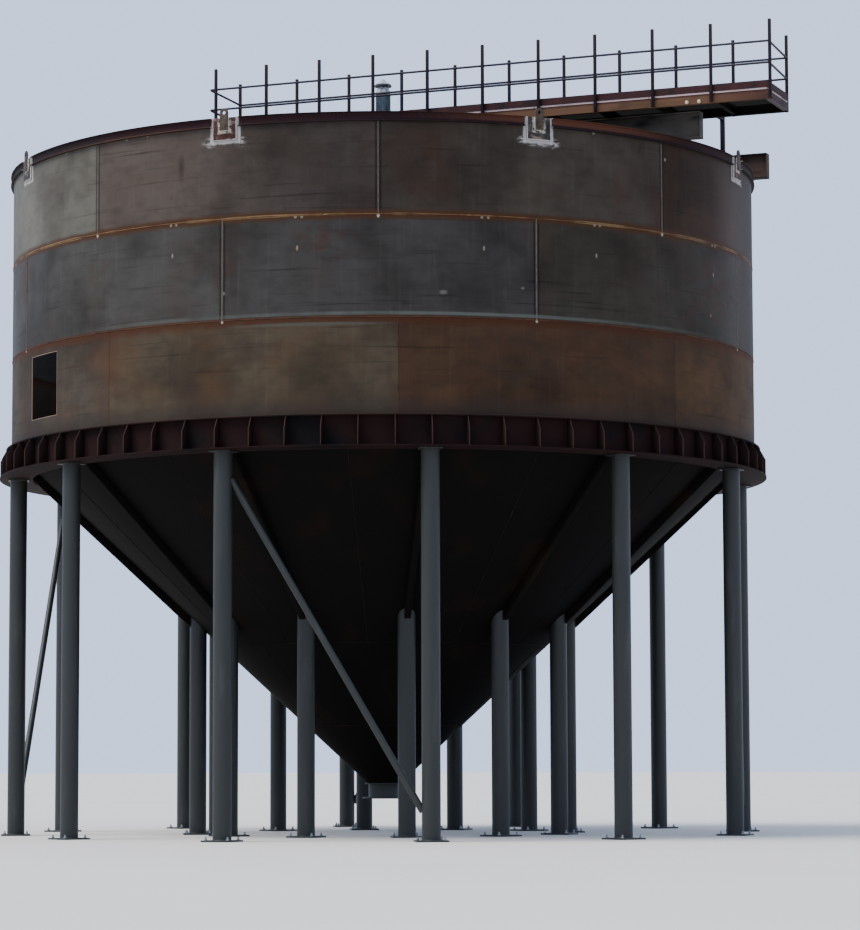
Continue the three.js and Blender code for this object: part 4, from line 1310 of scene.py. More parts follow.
def grown(mesh, maker_of_tree, maker_of_finish, **settings):
    """The plain mesh that comes out of a geometry tree, given the settings by the names of its inputs"""
    tree = bpy.data.node_groups.get(maker_of_tree.__name__)
    if tree is None:
        tree = maker_of_tree()
        tree.name = maker_of_tree.__name__
    settings["Finish"] = made_once(maker_of_finish)
    seed = bpy.data.objects.new("seed", mesh)
    bpy.context.scene.collection.objects.link(seed)
    modifier = seed.modifiers.new("growth", "NODES")
    modifier.node_group = tree
    for item in tree.interface.items_tree:
        label = item.name.replace(" ", "_")
        if item.in_out == "INPUT" and (item.name in settings or label in settings):
            modifier[item.identifier] = settings.get(item.name, settings.get(label))
    graph = bpy.context.evaluated_depsgraph_get()
    result = bpy.data.meshes.new_from_object(seed.evaluated_get(graph), depsgraph=graph)
    seed.modifiers.clear()
    bpy.data.objects.remove(seed)
    bpy.data.meshes.remove(mesh)
    return result


def round_axis(shape, maker, count, first=0.0, soft=0.0):
    """A shape repeated round the axis from that angle in degrees"""
    return grown(solid(shape, maker, soft), ring_tree, maker, Count=count, First_turn=math.radians(first))


def in_row(shape, maker, count, step, soft=0.0):
    """A shape repeated in a row"""
    return grown(solid(shape, maker, soft), row_tree, maker, Count=count, Step=step)


def weld(lines, maker, scale=1.0, closed=False):
    """A weld bead along lines of points"""
    sizes = bpy.context.scene.tank_sizes
    return grown(
        path(lines, closed), weld_tree, maker, Radius=sizes.bead_radius * scale,
        Ripple_step=sizes.bead_step, Unevenness=sizes.bead_unevenness,
    )


def ring_line(radius, z, count=180, first=0.0):
    """Points round the axis"""
    return [heading(first + 360 * i / count) * radius + Z_AXIS * z for i in range(count)]


def hexagon_bolt(place, pointing, size):
    """The head and washer of a bolt of that size, on a face at place and standing out along pointing"""
    across = pointing.orthogonal().normalized()
    up = pointing.cross(across)
    seat = place + pointing * size * WASHER_SHARE
    washer = bar(circle(size * WASHER_RADIUS_SHARE, 12), place, seat, across, up)
    head = bar(
        circle(size * HEAD_RADIUS_SHARE, 6), seat, place + pointing * size * HEAD_SHARE, across, up,
    )
    return joined(washer, head)


# Wall

def wall_radius(degrees, z):
    """Radius of the wall's outer face: rolled plates stray a little inwards from the round"""
    place = heading(degrees) * SHELL_RADIUS * 0.8 + Z_AXIS * z * 0.6
    stray = min(1.0, max(0.0, 0.5 + 0.7 * noise.noise(place)))
    return SHELL_RADIUS - bpy.context.scene.tank_sizes.plate_wave * stray


def wall_course(foot, top, opening=None):
    """A course of the wall as a sheet with its thickness, and with one opening cut through if given"""
    sides = bpy.context.scene.tank_sizes.wall_sides
    angles = {360 * index / sides - 180 for index in range(sides)}
    rows = 6
    heights = {foot + (top - foot) * row / rows for row in range(rows + 1)}
    if opening:
        left, right, sill, head = opening
        angles = {a for a in angles if min(abs(a - left), abs(a - right)) > 0.2} | {left, right}
        heights = {z for z in heights if min(abs(z - sill), abs(z - head)) > 0.05} | {sill, head}
    angles, heights = sorted(angles), sorted(heights)
    points = []
    for degrees in angles:
        for z in heights:
            outer = wall_radius(degrees, z)
            points += [heading(degrees) * radius + Z_AXIS * z for radius in (outer, outer - SHELL_PLATE)]
    count, levels = len(angles), len(heights)

    def corner(column, level, layer):
        return ((column % count) * levels + level) * 2 + layer

    def present(column, level):
        if not 0 <= level < levels - 1:
            return False
        degrees = angles[column % count]
        return not (opening and left <= degrees < right and sill <= heights[level] < head)

    faces = []
    for column in range(count):
        for level in range(levels - 1):
            if not present(column, level):
                continue
            square = ((column, level), (column + 1, level), (column + 1, level + 1), (column, level + 1))
            faces.append([corner(c, r, 0) for c, r in square])
            faces.append([corner(c, r, 1) for c, r in reversed(square)])
            beyond = ((column, level - 1), (column + 1, level), (column, level + 1), (column - 1, level))
            for side, neighbour in enumerate(beyond):
                if not present(*neighbour):
                    first, last = square[side], square[(side + 1) % 4]
                    faces.append([corner(*last, 0), corner(*first, 0), corner(*first, 1), corner(*last, 1)])
    return points, faces


class TANK_OT_wall(bpy.types.Operator):
    """Rolls the three courses of the wall, with the access opening in the bottom one"""

    bl_idname = "tank.wall"
    bl_label = "Wall courses"

    def execute(self, context):
        half = math.degrees(math.asin(ACCESS_WIDTH / 2 / SHELL_RADIUS))
        opening = (ACCESS_ANGLE - half, ACCESS_ANGLE + half, ACCESS_SILL_Z, ACCESS_HEAD_Z)
        bottom = wall_course(WALL_FOOT_Z, LOW_SEAM_Z, opening)
        middle = wall_course(LOW_SEAM_Z, HIGH_SEAM_Z)
        top = wall_course(HIGH_SEAM_Z, RIM_Z)
        for name, shape, finish, slot in (
            ("bottom", bottom, bottom_course_rust, "rusted_plate"),
            ("middle", middle, middle_course_scale, "blue_scale_plate"),
            ("top", top, top_course_scale, "mill_scale_plate"),
        ):
            piece(f"wall_{name}_course", [solid(shape, finish)], [f"shell_course_{name}"])
        return {"FINISHED"}


class TANK_OT_seams(bpy.types.Operator):
    """Lays the weld beads of the wall's ring seams and upright seams, outside and inside"""

    bl_idname = "tank.seams"
    bl_label = "Wall seams"

    def execute(self, context):
        rings, dressed, browned = [], [], []
        for z, finish in ((HIGH_SEAM_Z, rusted_weld_metal), (LOW_SEAM_Z, browned_weld_metal)):
            rings.append(weld([
                [heading(2 * i) * (wall_radius(2 * i, z) - inwards) + Z_AXIS * z for i in range(180)]
                for inwards in (0.0, SHELL_PLATE)
            ], finish, 0.9, closed=True))
        courses = [
            (browned, WALL_FOOT_Z, LOW_SEAM_Z, BOTTOM_COURSE_SEAM),
            (dressed, LOW_SEAM_Z, HIGH_SEAM_Z, MIDDLE_COURSE_SEAM),
            (dressed, HIGH_SEAM_Z, RIM_Z - (CURB_HIGH.z - CURB_LOW.z), OUTER_COURSE_SEAM),
        ]
        for lines, foot, top, first in courses:
            for plate in range(PLATES_ROUND):
                degrees = first + PLATE_TURN * plate
                for inwards in (0.0, SHELL_PLATE):
                    lines.append([
                        heading(degrees) * (wall_radius(degrees, z) - inwards) + Z_AXIS * z
                        for z in (foot + (top - foot) * step / 8 for step in range(9))
                    ])
        piece("wall_ring_seams", rings)
        piece("wall_upright_seams", [
            weld(dressed, ground_weld_metal, 0.7), weld(browned, browned_weld_metal, 0.6),
        ])
        return {"FINISHED"}


class TANK_OT_curb(bpy.types.Operator):
    """Rolls the curb channel round the rim, cut away to its web behind each lifting lug"""

    bl_idname = "tank.curb"
    bl_label = "Curb channel"

    def execute(self, context):
        sides = context.scene.tank_sizes.wall_sides
        back = SHELL_RADIUS + GAP
        web = back + CURB_WEB
        toe = CURB_HIGH.x - AXIS_X
        foot, top = CURB_LOW.z, CURB_HIGH.z
        low, high = foot + CURB_FLANGE, top - CURB_FLANGE
        channel = rounded([
            (back, foot, 0), (toe, foot, 0), (toe, low, CURB_TOE), (web, low, CURB_ROOT),
            (web, high, CURB_ROOT), (toe, high, CURB_TOE), (toe, top, 0), (back, top, 0),
        ])
        strip = [(back, foot), (web - NOTCH_BITE, foot), (web - NOTCH_BITE, top), (back, top)]
        notch = math.degrees(math.asin(NOTCH_HALF / toe))
        shapes = []
        for lug in range(LUG_COUNT):
            start = LUG_TURN * lug
            shapes.append(round_section(strip, sides, start - notch, start + notch))
            shapes.append(round_section(channel, sides, start + notch, start + LUG_TURN - notch))
        bead = [ring_line(back, foot, first=1.0)]
        piece("curb_channel", [
            solid(joined(*shapes), curb_primer),
            weld(bead, curb_primer, 0.6, closed=True),
        ], ["curb_ring"])
        return {"FINISHED"}


class TANK_OT_lugs(bpy.types.Operator):
    """Sets the lifting lugs on the curb: a pad, an ear with its eye and the fillet welds round both"""

    bl_idname = "tank.lugs"
    bl_label = "Lifting lugs"

    def execute(self, context):
        back = LUG_LOW.x - AXIS_X
        face = back + PAD_THICKNESS
        front = face + EAR_THICKNESS
        half = EAR_WIDTH / 2
        shoulder = LUG_HIGH.z - half
        drop = shoulder - (RIM_Z - EAR_DROP)
        corner = math.degrees(math.atan2(-drop, half))
        turns = sorted([360 * i / 36 - 180 for i in range(36)] + [corner, -180 - corner])
        rows = []
        for turn in turns:
            along, rise = math.cos(math.radians(turn)), math.sin(math.radians(turn))
            reach = half
            if rise < 0:
                reach = min(half / max(abs(along), 1e-6), drop / -rise)
            rows.append([
                Vector((x, along * distance, shoulder + rise * distance))
                for x, distance in ((face, reach), (front, reach), (front, EYE_RADIUS), (face, EYE_RADIUS))
            ])
        ear = skinned(rows, closed=True)
        pad = block((back, -PAD_WIDTH / 2, PAD_FOOT_Z), (face, PAD_WIDTH / 2, RIM_Z))
        wide, ear_foot = PAD_WIDTH / 2, RIM_Z - EAR_DROP
        corners = [(-wide, RIM_Z), (-wide, PAD_FOOT_Z), (wide, PAD_FOOT_Z), (wide, RIM_Z)]
        round_pad = [Vector((back + 0.004, y, z)) for y, z in corners]
        round_ear = [Vector((face, y, z)) for y, z in (
            (-half, RIM_Z), (-half, ear_foot), (half, ear_foot), (half, RIM_Z),
        )]
        beads = weld([round_pad, round_ear], whitened_lug_weld, 1.2)
        piece("lifting_lugs", [
            round_axis(pad, lug_pad_steel, LUG_COUNT, soft=0.003),
            round_axis(ear, lug_ear_steel, LUG_COUNT, soft=0.002),
            grown(beads, ring_tree, whitened_lug_weld, Count=LUG_COUNT, First_turn=0.0),
        ], [f"lifting_lug_{index + 1}" for index in range(LUG_COUNT)])
        return {"FINISHED"}


# Supports

def cone_height(radius):
    """Height of the cone's outer face"""
    return CONE_TOP_Z - CONE_SLOPE * (CONE_TOP_RADIUS - radius)


def cone_sheet(top, foot, sides=144):
    """A ring of the cone's plate between two radii of its outer face"""
    return moved(round_section([
        (foot - CONE_WIDTH, cone_height(foot)), (foot, cone_height(foot)),
        (top, cone_height(top)), (top - CONE_WIDTH, cone_height(top)),
    ], sides), turn=GRID_TURN)


def cone_seams(top, foot, count, first):
    """Lines down the slope, outside and inside the cone"""
    lines = []
    for index in range(count):
        away = heading(first + 360 * index / count)
        for inwards in (0.0, CONE_WIDTH):
            lines.append([
                away * (radius - inwards) + Z_AXIS * cone_height(radius)
                for radius in (foot + (top - foot) * step / 12 for step in range(13))
            ])
    return lines


def cone_hoop(radius):
    """Closed lines round the cone at a seam, outside and inside"""
    return [ring_line(radius - inwards, cone_height(radius), 90) for inwards in (0.0, CONE_WIDTH)]


class TANK_OT_ring_girder(bpy.types.Operator):
    """Rolls the ring girder under the wall and sets its gussets"""

    bl_idname = "tank.ring_girder"
    bl_label = "Ring girder"

    def execute(self, context):
        inner = SHELL_RADIUS - SHELL_PLATE
        web = inner + RING_WEB
        foot, top = RING_LOW.z, RING_HIGH.z
        low, high = foot + RING_FLANGE, top - RING_FLANGE
        section = rounded([
            (RING_INNER_RADIUS, foot, 0), (RING_RADIUS, foot, RING_EDGE), (RING_RADIUS, low, RING_EDGE),
            (web, low, RING_ROOT), (web, high, RING_ROOT), (RING_TOP_FLANGE_RADIUS, high, RING_EDGE),
            (RING_TOP_FLANGE_RADIUS, top, RING_EDGE), (inner, top, 0), (inner, low, RING_ROOT),
            (RING_INNER_RADIUS, low, 0),
        ])
        toe, head = RING_RADIUS - GUSSET_INSET, RING_TOP_FLANGE_RADIUS - GUSSET_HEAD_INSET
        gusset = radial_plate([
            (web + GUSSET_SNIPE, low), (toe, low), (toe, GUSSET_SHOULDER_Z), (head, high),
            (web + GUSSET_SNIPE, high), (web, high - GUSSET_SNIPE), (web, low + GUSSET_SNIPE),
        ], GUSSET_THICKNESS)
        piece("ring_girder_rolled", [
            solid(moved(round_section(section, context.scene.tank_sizes.wall_sides), turn=GRID_TURN),
                  ring_primer_in_painted_shade),
            round_axis(gusset, primed_gusset_plate, GUSSET_COUNT, GRID_TURN, soft=0.001),
            weld([
                ring_line(web, low, first=1.0), ring_line(web, high, first=1.0),
                ring_line(SHELL_RADIUS, WALL_FOOT_Z, first=1.0),
            ], shaded_weld_metal, 0.7, closed=True),
        ], ["ring_girder"])
        return {"FINISHED"}


class TANK_OT_cone(bpy.types.Operator):
    """Rolls the three rings of the cone with their seams and the ribs under the upper ring"""

    bl_idname = "tank.cone"
    bl_label = "Cone bottom"

    def execute(self, context):
        start = RING_INNER_RADIUS - RIB_INSET
        end = INNER_COLUMN_RADIUS + COLUMN_RADIUS + GAP
        drop = RIB_DEPTH * CONE_RATIO
        rib = radial_plate([
            (end, cone_height(end)), (end, cone_height(end) - drop),
            (start, cone_height(start) - drop), (start, cone_height(start)),
        ], RIB_WIDTH)
        upper = cone_seams(
            CONE_TOP_RADIUS - CONE_SEAM_INSET, CONE_JOINT_RADIUS, COLUMN_COUNT, CONE_SEAM_TURN,
        )
        lower = cone_seams(
            CONE_JOINT_RADIUS, CONE_TIP_RADIUS, CONE_LOWER_SEAM_COUNT, CONE_LOWER_SEAM_TURN,
        )
        piece("cone_upper_ring", [
            solid(cone_sheet(CONE_TOP_RADIUS, CONE_JOINT_RADIUS), painted_shade_underside_plate),
            round_axis(rib, painted_shade_underside_plate, COLUMN_COUNT, GRID_TURN, soft=0.006),
            weld(upper, shaded_weld_metal, 0.8),
        ], ["cone_upper"])
        piece("cone_lower_ring", [
            solid(cone_sheet(CONE_JOINT_RADIUS, CONE_TIP_RADIUS), painted_shade_underside_plate),
            weld(cone_hoop(CONE_JOINT_RADIUS), shaded_weld_metal, 0.9, closed=True),
            weld(lower, shaded_weld_metal, 0.8),
        ], ["cone_lower"])
        piece("cone_tip_ring", [
            solid(cone_sheet(CONE_TIP_RADIUS, CONE_OUTLET_RADIUS), painted_shade_underside_plate),
            weld(cone_hoop(CONE_TIP_RADIUS), shaded_weld_metal, 0.9, closed=True),
        ], ["cone_tip"])
        return {"FINISHED"}


class TANK_OT_outlet(bpy.types.Operator):
    """Turns the underflow outlet: a pipe with a collar at the cone and a flange at its foot"""

    bl_idname = "tank.outlet"
    bl_label = "Underflow outlet"

    def execute(self, context):
        top = OUTLET_HIGH.z
        foot = OUTLET_LOW.z
        wall = OUTLET_BORE + OUTLET_WALL
        collar = CONE_OUTLET_RADIUS + OUTLET_COLLAR
        flange = (OUTLET_HIGH.x - OUTLET_LOW.x) / 2
        section = rounded([
            (OUTLET_BORE, foot, 0.001), (flange, foot, 0.003), (flange, foot + OUTLET_FLANGE, 0.003),
            (wall, foot + OUTLET_FLANGE, 0.008), (wall, top - OUTLET_COLLAR_THICKNESS, 0.006),
            (collar, top - OUTLET_COLLAR_THICKNESS, 0.002), (collar, top, 0), (OUTLET_BORE, top, 0),
        ])
        piece("underflow_pipe", [solid(round_section(section, 72), slate_epoxy_coating)],
              ["underflow_outlet"])
        return {"FINISHED"}


def column_foot(radius):
    """A column's base plate"""
    half = BASE_PLATE / 2
    return block((radius - half, -half, 0), (radius + half, half, BASE_PLATE_THICKNESS))


def anchor_bolts(radius, size):
    """Four anchor rods through a base plate, each with its washer and nut"""
    reach = BASE_PLATE / 2 - ANCHOR_EDGE
    shapes = []
    for x in (radius - reach, radius + reach):
        for y in (-reach, reach):
            place = Vector((x, y, BASE_PLATE_THICKNESS))
            shapes.append(hexagon_bolt(place, Z_AXIS, size))
            shapes.append(rod(place, place + Z_AXIS * size * 2, size / 2, 10))
    return joined(*shapes)


class TANK_OT_columns(bpy.types.Operator):
    """Stands the two rings of tubular columns on their base plates and anchor bolts"""

    bl_idname = "tank.columns"
    bl_label = "Columns"

    def execute(self, context):
        bolt = context.scene.tank_sizes.anchor_bolt
        cap_half = CAP_PLATE / 2
        head = RING_LOW.z
        shaft_top = head - CAP_PLATE_THICKNESS
        shaft = rod(
            (OUTER_COLUMN_RADIUS, 0, BASE_PLATE_THICKNESS / 2),
            (OUTER_COLUMN_RADIUS, 0, shaft_top + CAP_PLATE_THICKNESS / 2), COLUMN_RADIUS, COLUMN_SIDES,
        )
        cap = block(
            (OUTER_COLUMN_RADIUS - cap_half, -cap_half, shaft_top),
            (OUTER_COLUMN_RADIUS + cap_half, cap_half, head),
        )
        inner_rows = []
        for height in (lambda x: BASE_PLATE_THICKNESS / 2, lambda x: cone_height(x) - GAP * CONE_RATIO):
            row = []
            for across, along in circle(COLUMN_RADIUS, COLUMN_SIDES):
                x = INNER_COLUMN_RADIUS + across
                row.append(Vector((x, along, height(x))))
            inner_rows.append(row)
        rings = [
            ("outer", OUTER_COLUMN_RADIUS, [(shaft, 0.0), (cap, 0.003)]),
            ("inner", INNER_COLUMN_RADIUS, [(skinned(inner_rows), 0.0)]),
        ]
        for name, radius, shapes in rings:
            collar_foot = [
                Vector((radius + across, along, BASE_PLATE_THICKNESS))
                for across, along in circle(COLUMN_RADIUS, COLUMN_SIDES // 2)
            ]
            collar = weld([collar_foot], slate_epoxy_coating, closed=True)
            parts = [
                round_axis(shape, slate_epoxy_coating, COLUMN_COUNT, GRID_TURN, soft)
                for shape, soft in shapes
            ]
            parts += [
                round_axis(column_foot(radius), slate_epoxy_coating, COLUMN_COUNT, GRID_TURN, 0.003),
                round_axis(anchor_bolts(radius, bolt), hot_dip_zinc, COLUMN_COUNT, GRID_TURN),
                grown(
                    collar, ring_tree, slate_epoxy_coating,
                    Count=COLUMN_COUNT, First_turn=math.radians(GRID_TURN),
                ),
            ]
            piece(f"{name}_columns", parts, [
                f"{name}_column_{index + 1:02d}" for index in range(COLUMN_COUNT)
            ])
        return {"FINISHED"}


class TANK_OT_braces(bpy.types.Operator):
    """Runs a diagonal tube from a column's head to the next column's foot on each quarter"""

    bl_idname = "tank.braces"
    bl_label = "Braces"

    def execute(self, context):
        start = heading(0) * OUTER_COLUMN_RADIUS + Z_AXIS * BRACE_TOP_Z
        end = heading(360 / COLUMN_COUNT) * OUTER_COLUMN_RADIUS + Z_AXIS * BRACE_FOOT_Z
        run = (end - start).normalized()
        flat = math.hypot(run.x, run.y)
        sink = run * (COLUMN_RADIUS * 0.9) / flat
        tube = rod(start + sink, end - sink, BRACE_RADIUS, 28)
        piece("column_braces", [round_axis(tube, slate_epoxy_coating, BRACE_COUNT, GRID_TURN)],
              [f"brace_{index + 1}" for index in range(BRACE_COUNT)])
        return {"FINISHED"}


# Bridge and walkway

class TANK_OT_girders(bpy.types.Operator):
    """Lays the two bridge girders across the rim with stiffeners at their ends and at the drive"""

    bl_idname = "tank.girders"
    bl_label = "Bridge girders"

    def execute(self, context):
        width = NEAR_GIRDER_HIGH.y - NEAR_GIRDER_LOW.y
        depth = NEAR_GIRDER_HIGH.z - NEAR_GIRDER_LOW.z
        left, right = NEAR_GIRDER_LOW.x - AXIS_X, NEAR_GIRDER_HIGH.x - AXIS_X
        section = i_section(width, depth, GIRDER_FLANGE, GIRDER_WEB, GIRDER_ROOT)
        places = (left, right - STIFFENER, -DRIVE_BEAM_X - STIFFENER / 2, DRIVE_BEAM_X - STIFFENER / 2)
        for name, finish in (("near", scaled_girder_steel), ("far", rusted_girder_steel)):
            node = f"bridge_girder_{name}"
            low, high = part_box(node)
            y = (low.y + high.y) / 2
            beam = bar(section, (left, y, low.z), (right, y, low.z), Y_AXIS, Z_AXIS)
            stiffeners = []
            for x in places:
                for side in (-1, 1):
                    takes_drive_beam = side * y < 0 and abs(x) < 1
                    if takes_drive_beam:
                        continue
                    reach = sorted((y + side * GIRDER_WEB / 2, y + side * (width / 2 - STIFFENER_INSET)))
                    stiffeners.append(block(
                        (x, reach[0], low.z + GIRDER_FLANGE),
                        (x + STIFFENER, reach[1], high.z - GIRDER_FLANGE),
                    ))
            piece(f"bridge_girder_{name}_rolled", [
                solid(beam, finish), solid(joined(*stiffeners), finish, 0.001),
            ], [node])
        return {"FINISHED"}


class TANK_OT_walkway_frame(bpy.types.Operator):
    """Frames the walkway in rolled channel: two sides, two ends and a cross channel at each post"""

    bl_idname = "tank.walkway_frame"
    bl_label = "Walkway frame"

    def execute(self, context):
        left, near_right, right = WALK_LOW.x - AXIS_X, WALK_HIGH.x - AXIS_X, WALKWAY_END_X
        near, far = WALK_LOW.y, WALK_HIGH.y
        foot, cross_foot = WALK_LOW.z, NEAR_GIRDER_HIGH.z
        sections = [
            channel_section(CHANNEL_FLANGE_WIDTH, depth, CHANNEL_WEB, CHANNEL_FLANGE, CHANNEL_ROOT)
            for depth in (SIDE_CHANNEL_DEPTH, CROSS_CHANNEL_DEPTH)
        ]
        start, end = near + CHANNEL_WEB / 2, far - CHANNEL_WEB / 2

        def cross_channel(x, across):
            return bar(sections[1], (x, start, cross_foot), (x, end, cross_foot), across, Z_AXIS)

        near_side = bar(sections[0], (left, near, foot), (near_right, near, foot), Y_AXIS, Z_AXIS)
        dark_sides = joined(
            bar(sections[0], (left, far, foot), (right, far, foot), -Y_AXIS, Z_AXIS),
            cross_channel(left + 0.001, X_AXIS),
        )
        caps = joined(*[
            bar(circle(LAMP_RADIUS, 20), (x, near, LAMP_Z), (x, near - LAMP_RADIUS, LAMP_Z), X_AXIS, Z_AXIS)
            for x in LAMPS_X
        ])
        piece("walkway_channels", [
            solid(near_side, rusted_channel_steel),
            solid(cross_channel(right - 0.001, -X_AXIS), primed_channel_steel),
            solid(dark_sides, shaded_channel_steel),
            in_row(cross_channel(SECOND_POST_X, X_AXIS), shaded_channel_steel, BAY_COUNT - 1, (BAY, 0, 0)),
            solid(caps, cream_cap_plastic, 0.008),
        ], ["walkway_frame"])
        return {"FINISHED"}


class TANK_OT_deck(bpy.types.Operator):
    """Lays the deck: panels of bar grating in a pale edge band, with bearing bars along the walkway"""

    bl_idname = "tank.deck"
    bl_label = "Deck grating"

    def execute(self, context):
        sizes = context.scene.tank_sizes
        left, right = DECK_LOW.x - AXIS_X, DECK_HIGH.x - AXIS_X
        near, far, foot, top = DECK_LOW.y, DECK_HIGH.y, DECK_LOW.z, DECK_HIGH.z
        bars = round((far - near) / sizes.bearing_bar_pitch)
        bar_step = (far - near - GRATING_BAR) / bars
        rods = round((right - left) / sizes.cross_rod_pitch)
        rod_step = (right - left - GRATING_ROD) / rods
        bearing = block((left, near + bar_step, foot), (right, near + bar_step + GRATING_BAR, top))
        crossing = block(
            (left + rod_step, near, top - GRATING_ROD),
            (left + rod_step + GRATING_ROD, far, top - 0.0005),
        )
        panels = BAY_COUNT // 2
        band_step = (right - left) / panels
        band = block(
            (left + band_step - GRATING_BAR, near, foot), (left + band_step + GRATING_BAR, far, top),
        )
        edges = [
            block((left, near, foot), (right, near + GRATING_BAR, top)),
            block((left, far - GRATING_BAR, foot), (right, far, top)),
            block((left, near, foot), (left + GRATING_BAR, far, top)),
            block((right - GRATING_BAR, near, foot), (right, far, top)),
        ]
        piece("deck_grating", [
            in_row(bearing, painted_shade_zinc_bars, bars - 1, (0, bar_step, 0)),
            in_row(crossing, painted_shade_zinc_bars, rods - 1, (rod_step, 0, 0)),
            in_row(band, painted_shade_zinc_bars, panels - 1, (band_step, 0, 0)),
            solid(joined(*edges), fresh_zinc_band),
        ], ["walkway_deck"])
        return {"FINISHED"}


class TANK_OT_toe_boards(bpy.types.Operator):
    """Bends the toe boards along both sides and across the ends"""

    bl_idname = "tank.toe_boards"
    bl_label = "Toe boards"

    def execute(self, context):
        left, near_right, right = TOE_LOW.x - AXIS_X, TOE_HIGH.x - AXIS_X, WALKWAY_END_X
        near, end = TOE_LOW.y, TOE_HIGH.y
        inner = near + TOE_THICKNESS
        outline = rounded([
            (left, near, 0.004), (near_right, near, 0), (near_right, inner, 0), (right, inner, 0),
            (right, end, 0), (right - TOE_THICKNESS, end, 0), (right - TOE_THICKNESS, inner, 0),
            (left + TOE_THICKNESS, inner, 0.002), (left + TOE_THICKNESS, end, 0), (left, end, 0),
        ])
        bent = skinned([[Vector((x, y, z)) for x, y in outline] for z in (TOE_LOW.z, TOE_HIGH.z)])
        low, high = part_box("toe_board_far")
        shift = Vector((AXIS_X, 0, 0))
        flat = block(low - shift, high - shift)
        for name, node, shape, soft in (
            ("toe_board_near_bent", "toe_board_near", bent, 0.0),
            ("toe_board_far_flat", "toe_board_far", flat, 0.001),
        ):
            piece(name, [solid(shape, iron_oxide_primer, soft)], [node])
        return {"FINISHED"}


class TANK_OT_handrails(bpy.types.Operator):
    """Stands the posts outside the side channels and runs the rails through them"""

    bl_idname = "tank.handrails"
    bl_label = "Handrails"

    def execute(self, context):
        size = context.scene.tank_sizes.frame_bolt
        half = POST / 2
        far_low, far_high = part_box("handrail_far")
        far_y = (far_low.y + far_high.y) / 2
        lines = [
            ("near", RAIL_LOW.y + half, NEAR_END_POSTS_X, NEAR_RAIL_START_X, NEAR_RAILS_Z, -1),
            ("far", far_y, FAR_END_POSTS_X, FAR_END_POSTS_X[0], FAR_RAILS_Z, 1),
        ]
        tube = rounded_box(POST, POST, POST_CORNER)
        for name, y, ends, start, heights, side in lines:

            def post(x):
                return bar(tube, (x, y, RAIL_LOW.z), (x, y, RAIL_HIGH.z), X_AXIS, Y_AXIS)

            def post_bolts(x):
                return joined(*[
                    hexagon_bolt(Vector((x, y + side * half, RAIL_LOW.z + rise)), Y_AXIS * side, size)
                    for rise in POST_BOLT_RISES
                ])

            rails = [rod((start, y, z), (ends[1], y, z), RAIL_RADIUS) for z in heights]
            if name == "near":
                crossings = ((NEAR_END_RAIL_X, FAR_END_POSTS_X[0]), (ends[1], FAR_END_POSTS_X[1]))
                for z in [height - END_RAIL_DROP for height in heights]:
                    for x, far_x in crossings:
                        rails.append(rod((x, y, z), (far_x, far_low.y - GAP, z), RAIL_RADIUS))
            piece(f"handrail_{name}_tubes", [
                in_row(post(SECOND_POST_X), dark_tube_coating, BAY_COUNT - 1, (BAY, 0, 0), 0.001),
                in_row(post_bolts(SECOND_POST_X), dark_tube_coating, BAY_COUNT - 1, (BAY, 0, 0)),
                solid(joined(*[post(x) for x in ends]), dark_tube_coating, 0.001),
                solid(joined(*[post_bolts(x) for x in ends]), dark_tube_coating),
                solid(joined(*rails), bare_rail_tube),
            ], [f"handrail_{name}"])
        return {"FINISHED"}


class TANK_OT_leg(bpy.types.Operator):
    """Stands the walkway's leg on the curb, with the arm at its head and a weld round its foot"""

    bl_idname = "tank.leg"
    bl_label = "Walkway leg"

    def execute(self, context):
        head, far = LEG_HIGH.z, WALK_HIGH.y
        half = LEG_SIZE / 2
        place = heading(LEG_ANGLE) * LEG_RADIUS
        tube = rounded_box(LEG_SIZE, LEG_SIZE, LEG_CORNER)
        upright = bar(tube, (0, 0, RIM_Z), (0, 0, head), X_AXIS, Y_AXIS)
        middle = head - LEG_ARM / 2
        arm = bar(
            rounded_box(LEG_ARM, LEG_ARM, LEG_ARM_CORNER),
            (place.x, far, middle), (place.x, place.y, middle), X_AXIS, Z_AXIS,
        )
        corners = ((-half, -half), (half, -half), (half, half), (-half, half))
        foot = [Vector((x, y, RIM_Z)) for x, y in corners]
        bead = weld([foot], dark_tube_coating, 0.7, closed=True)
        bead.transform(Matrix.Translation(place) @ Matrix.Rotation(math.radians(LEG_ANGLE), 4, "Z"))
        piece("walkway_leg_tubes", [
            solid(moved(upright, place.x, place.y, turn=LEG_ANGLE), dark_tube_coating, 0.001),
            solid(arm, dark_tube_coating, 0.001),
            bead,
        ], ["walkway_leg"])
        return {"FINISHED"}


# Drive

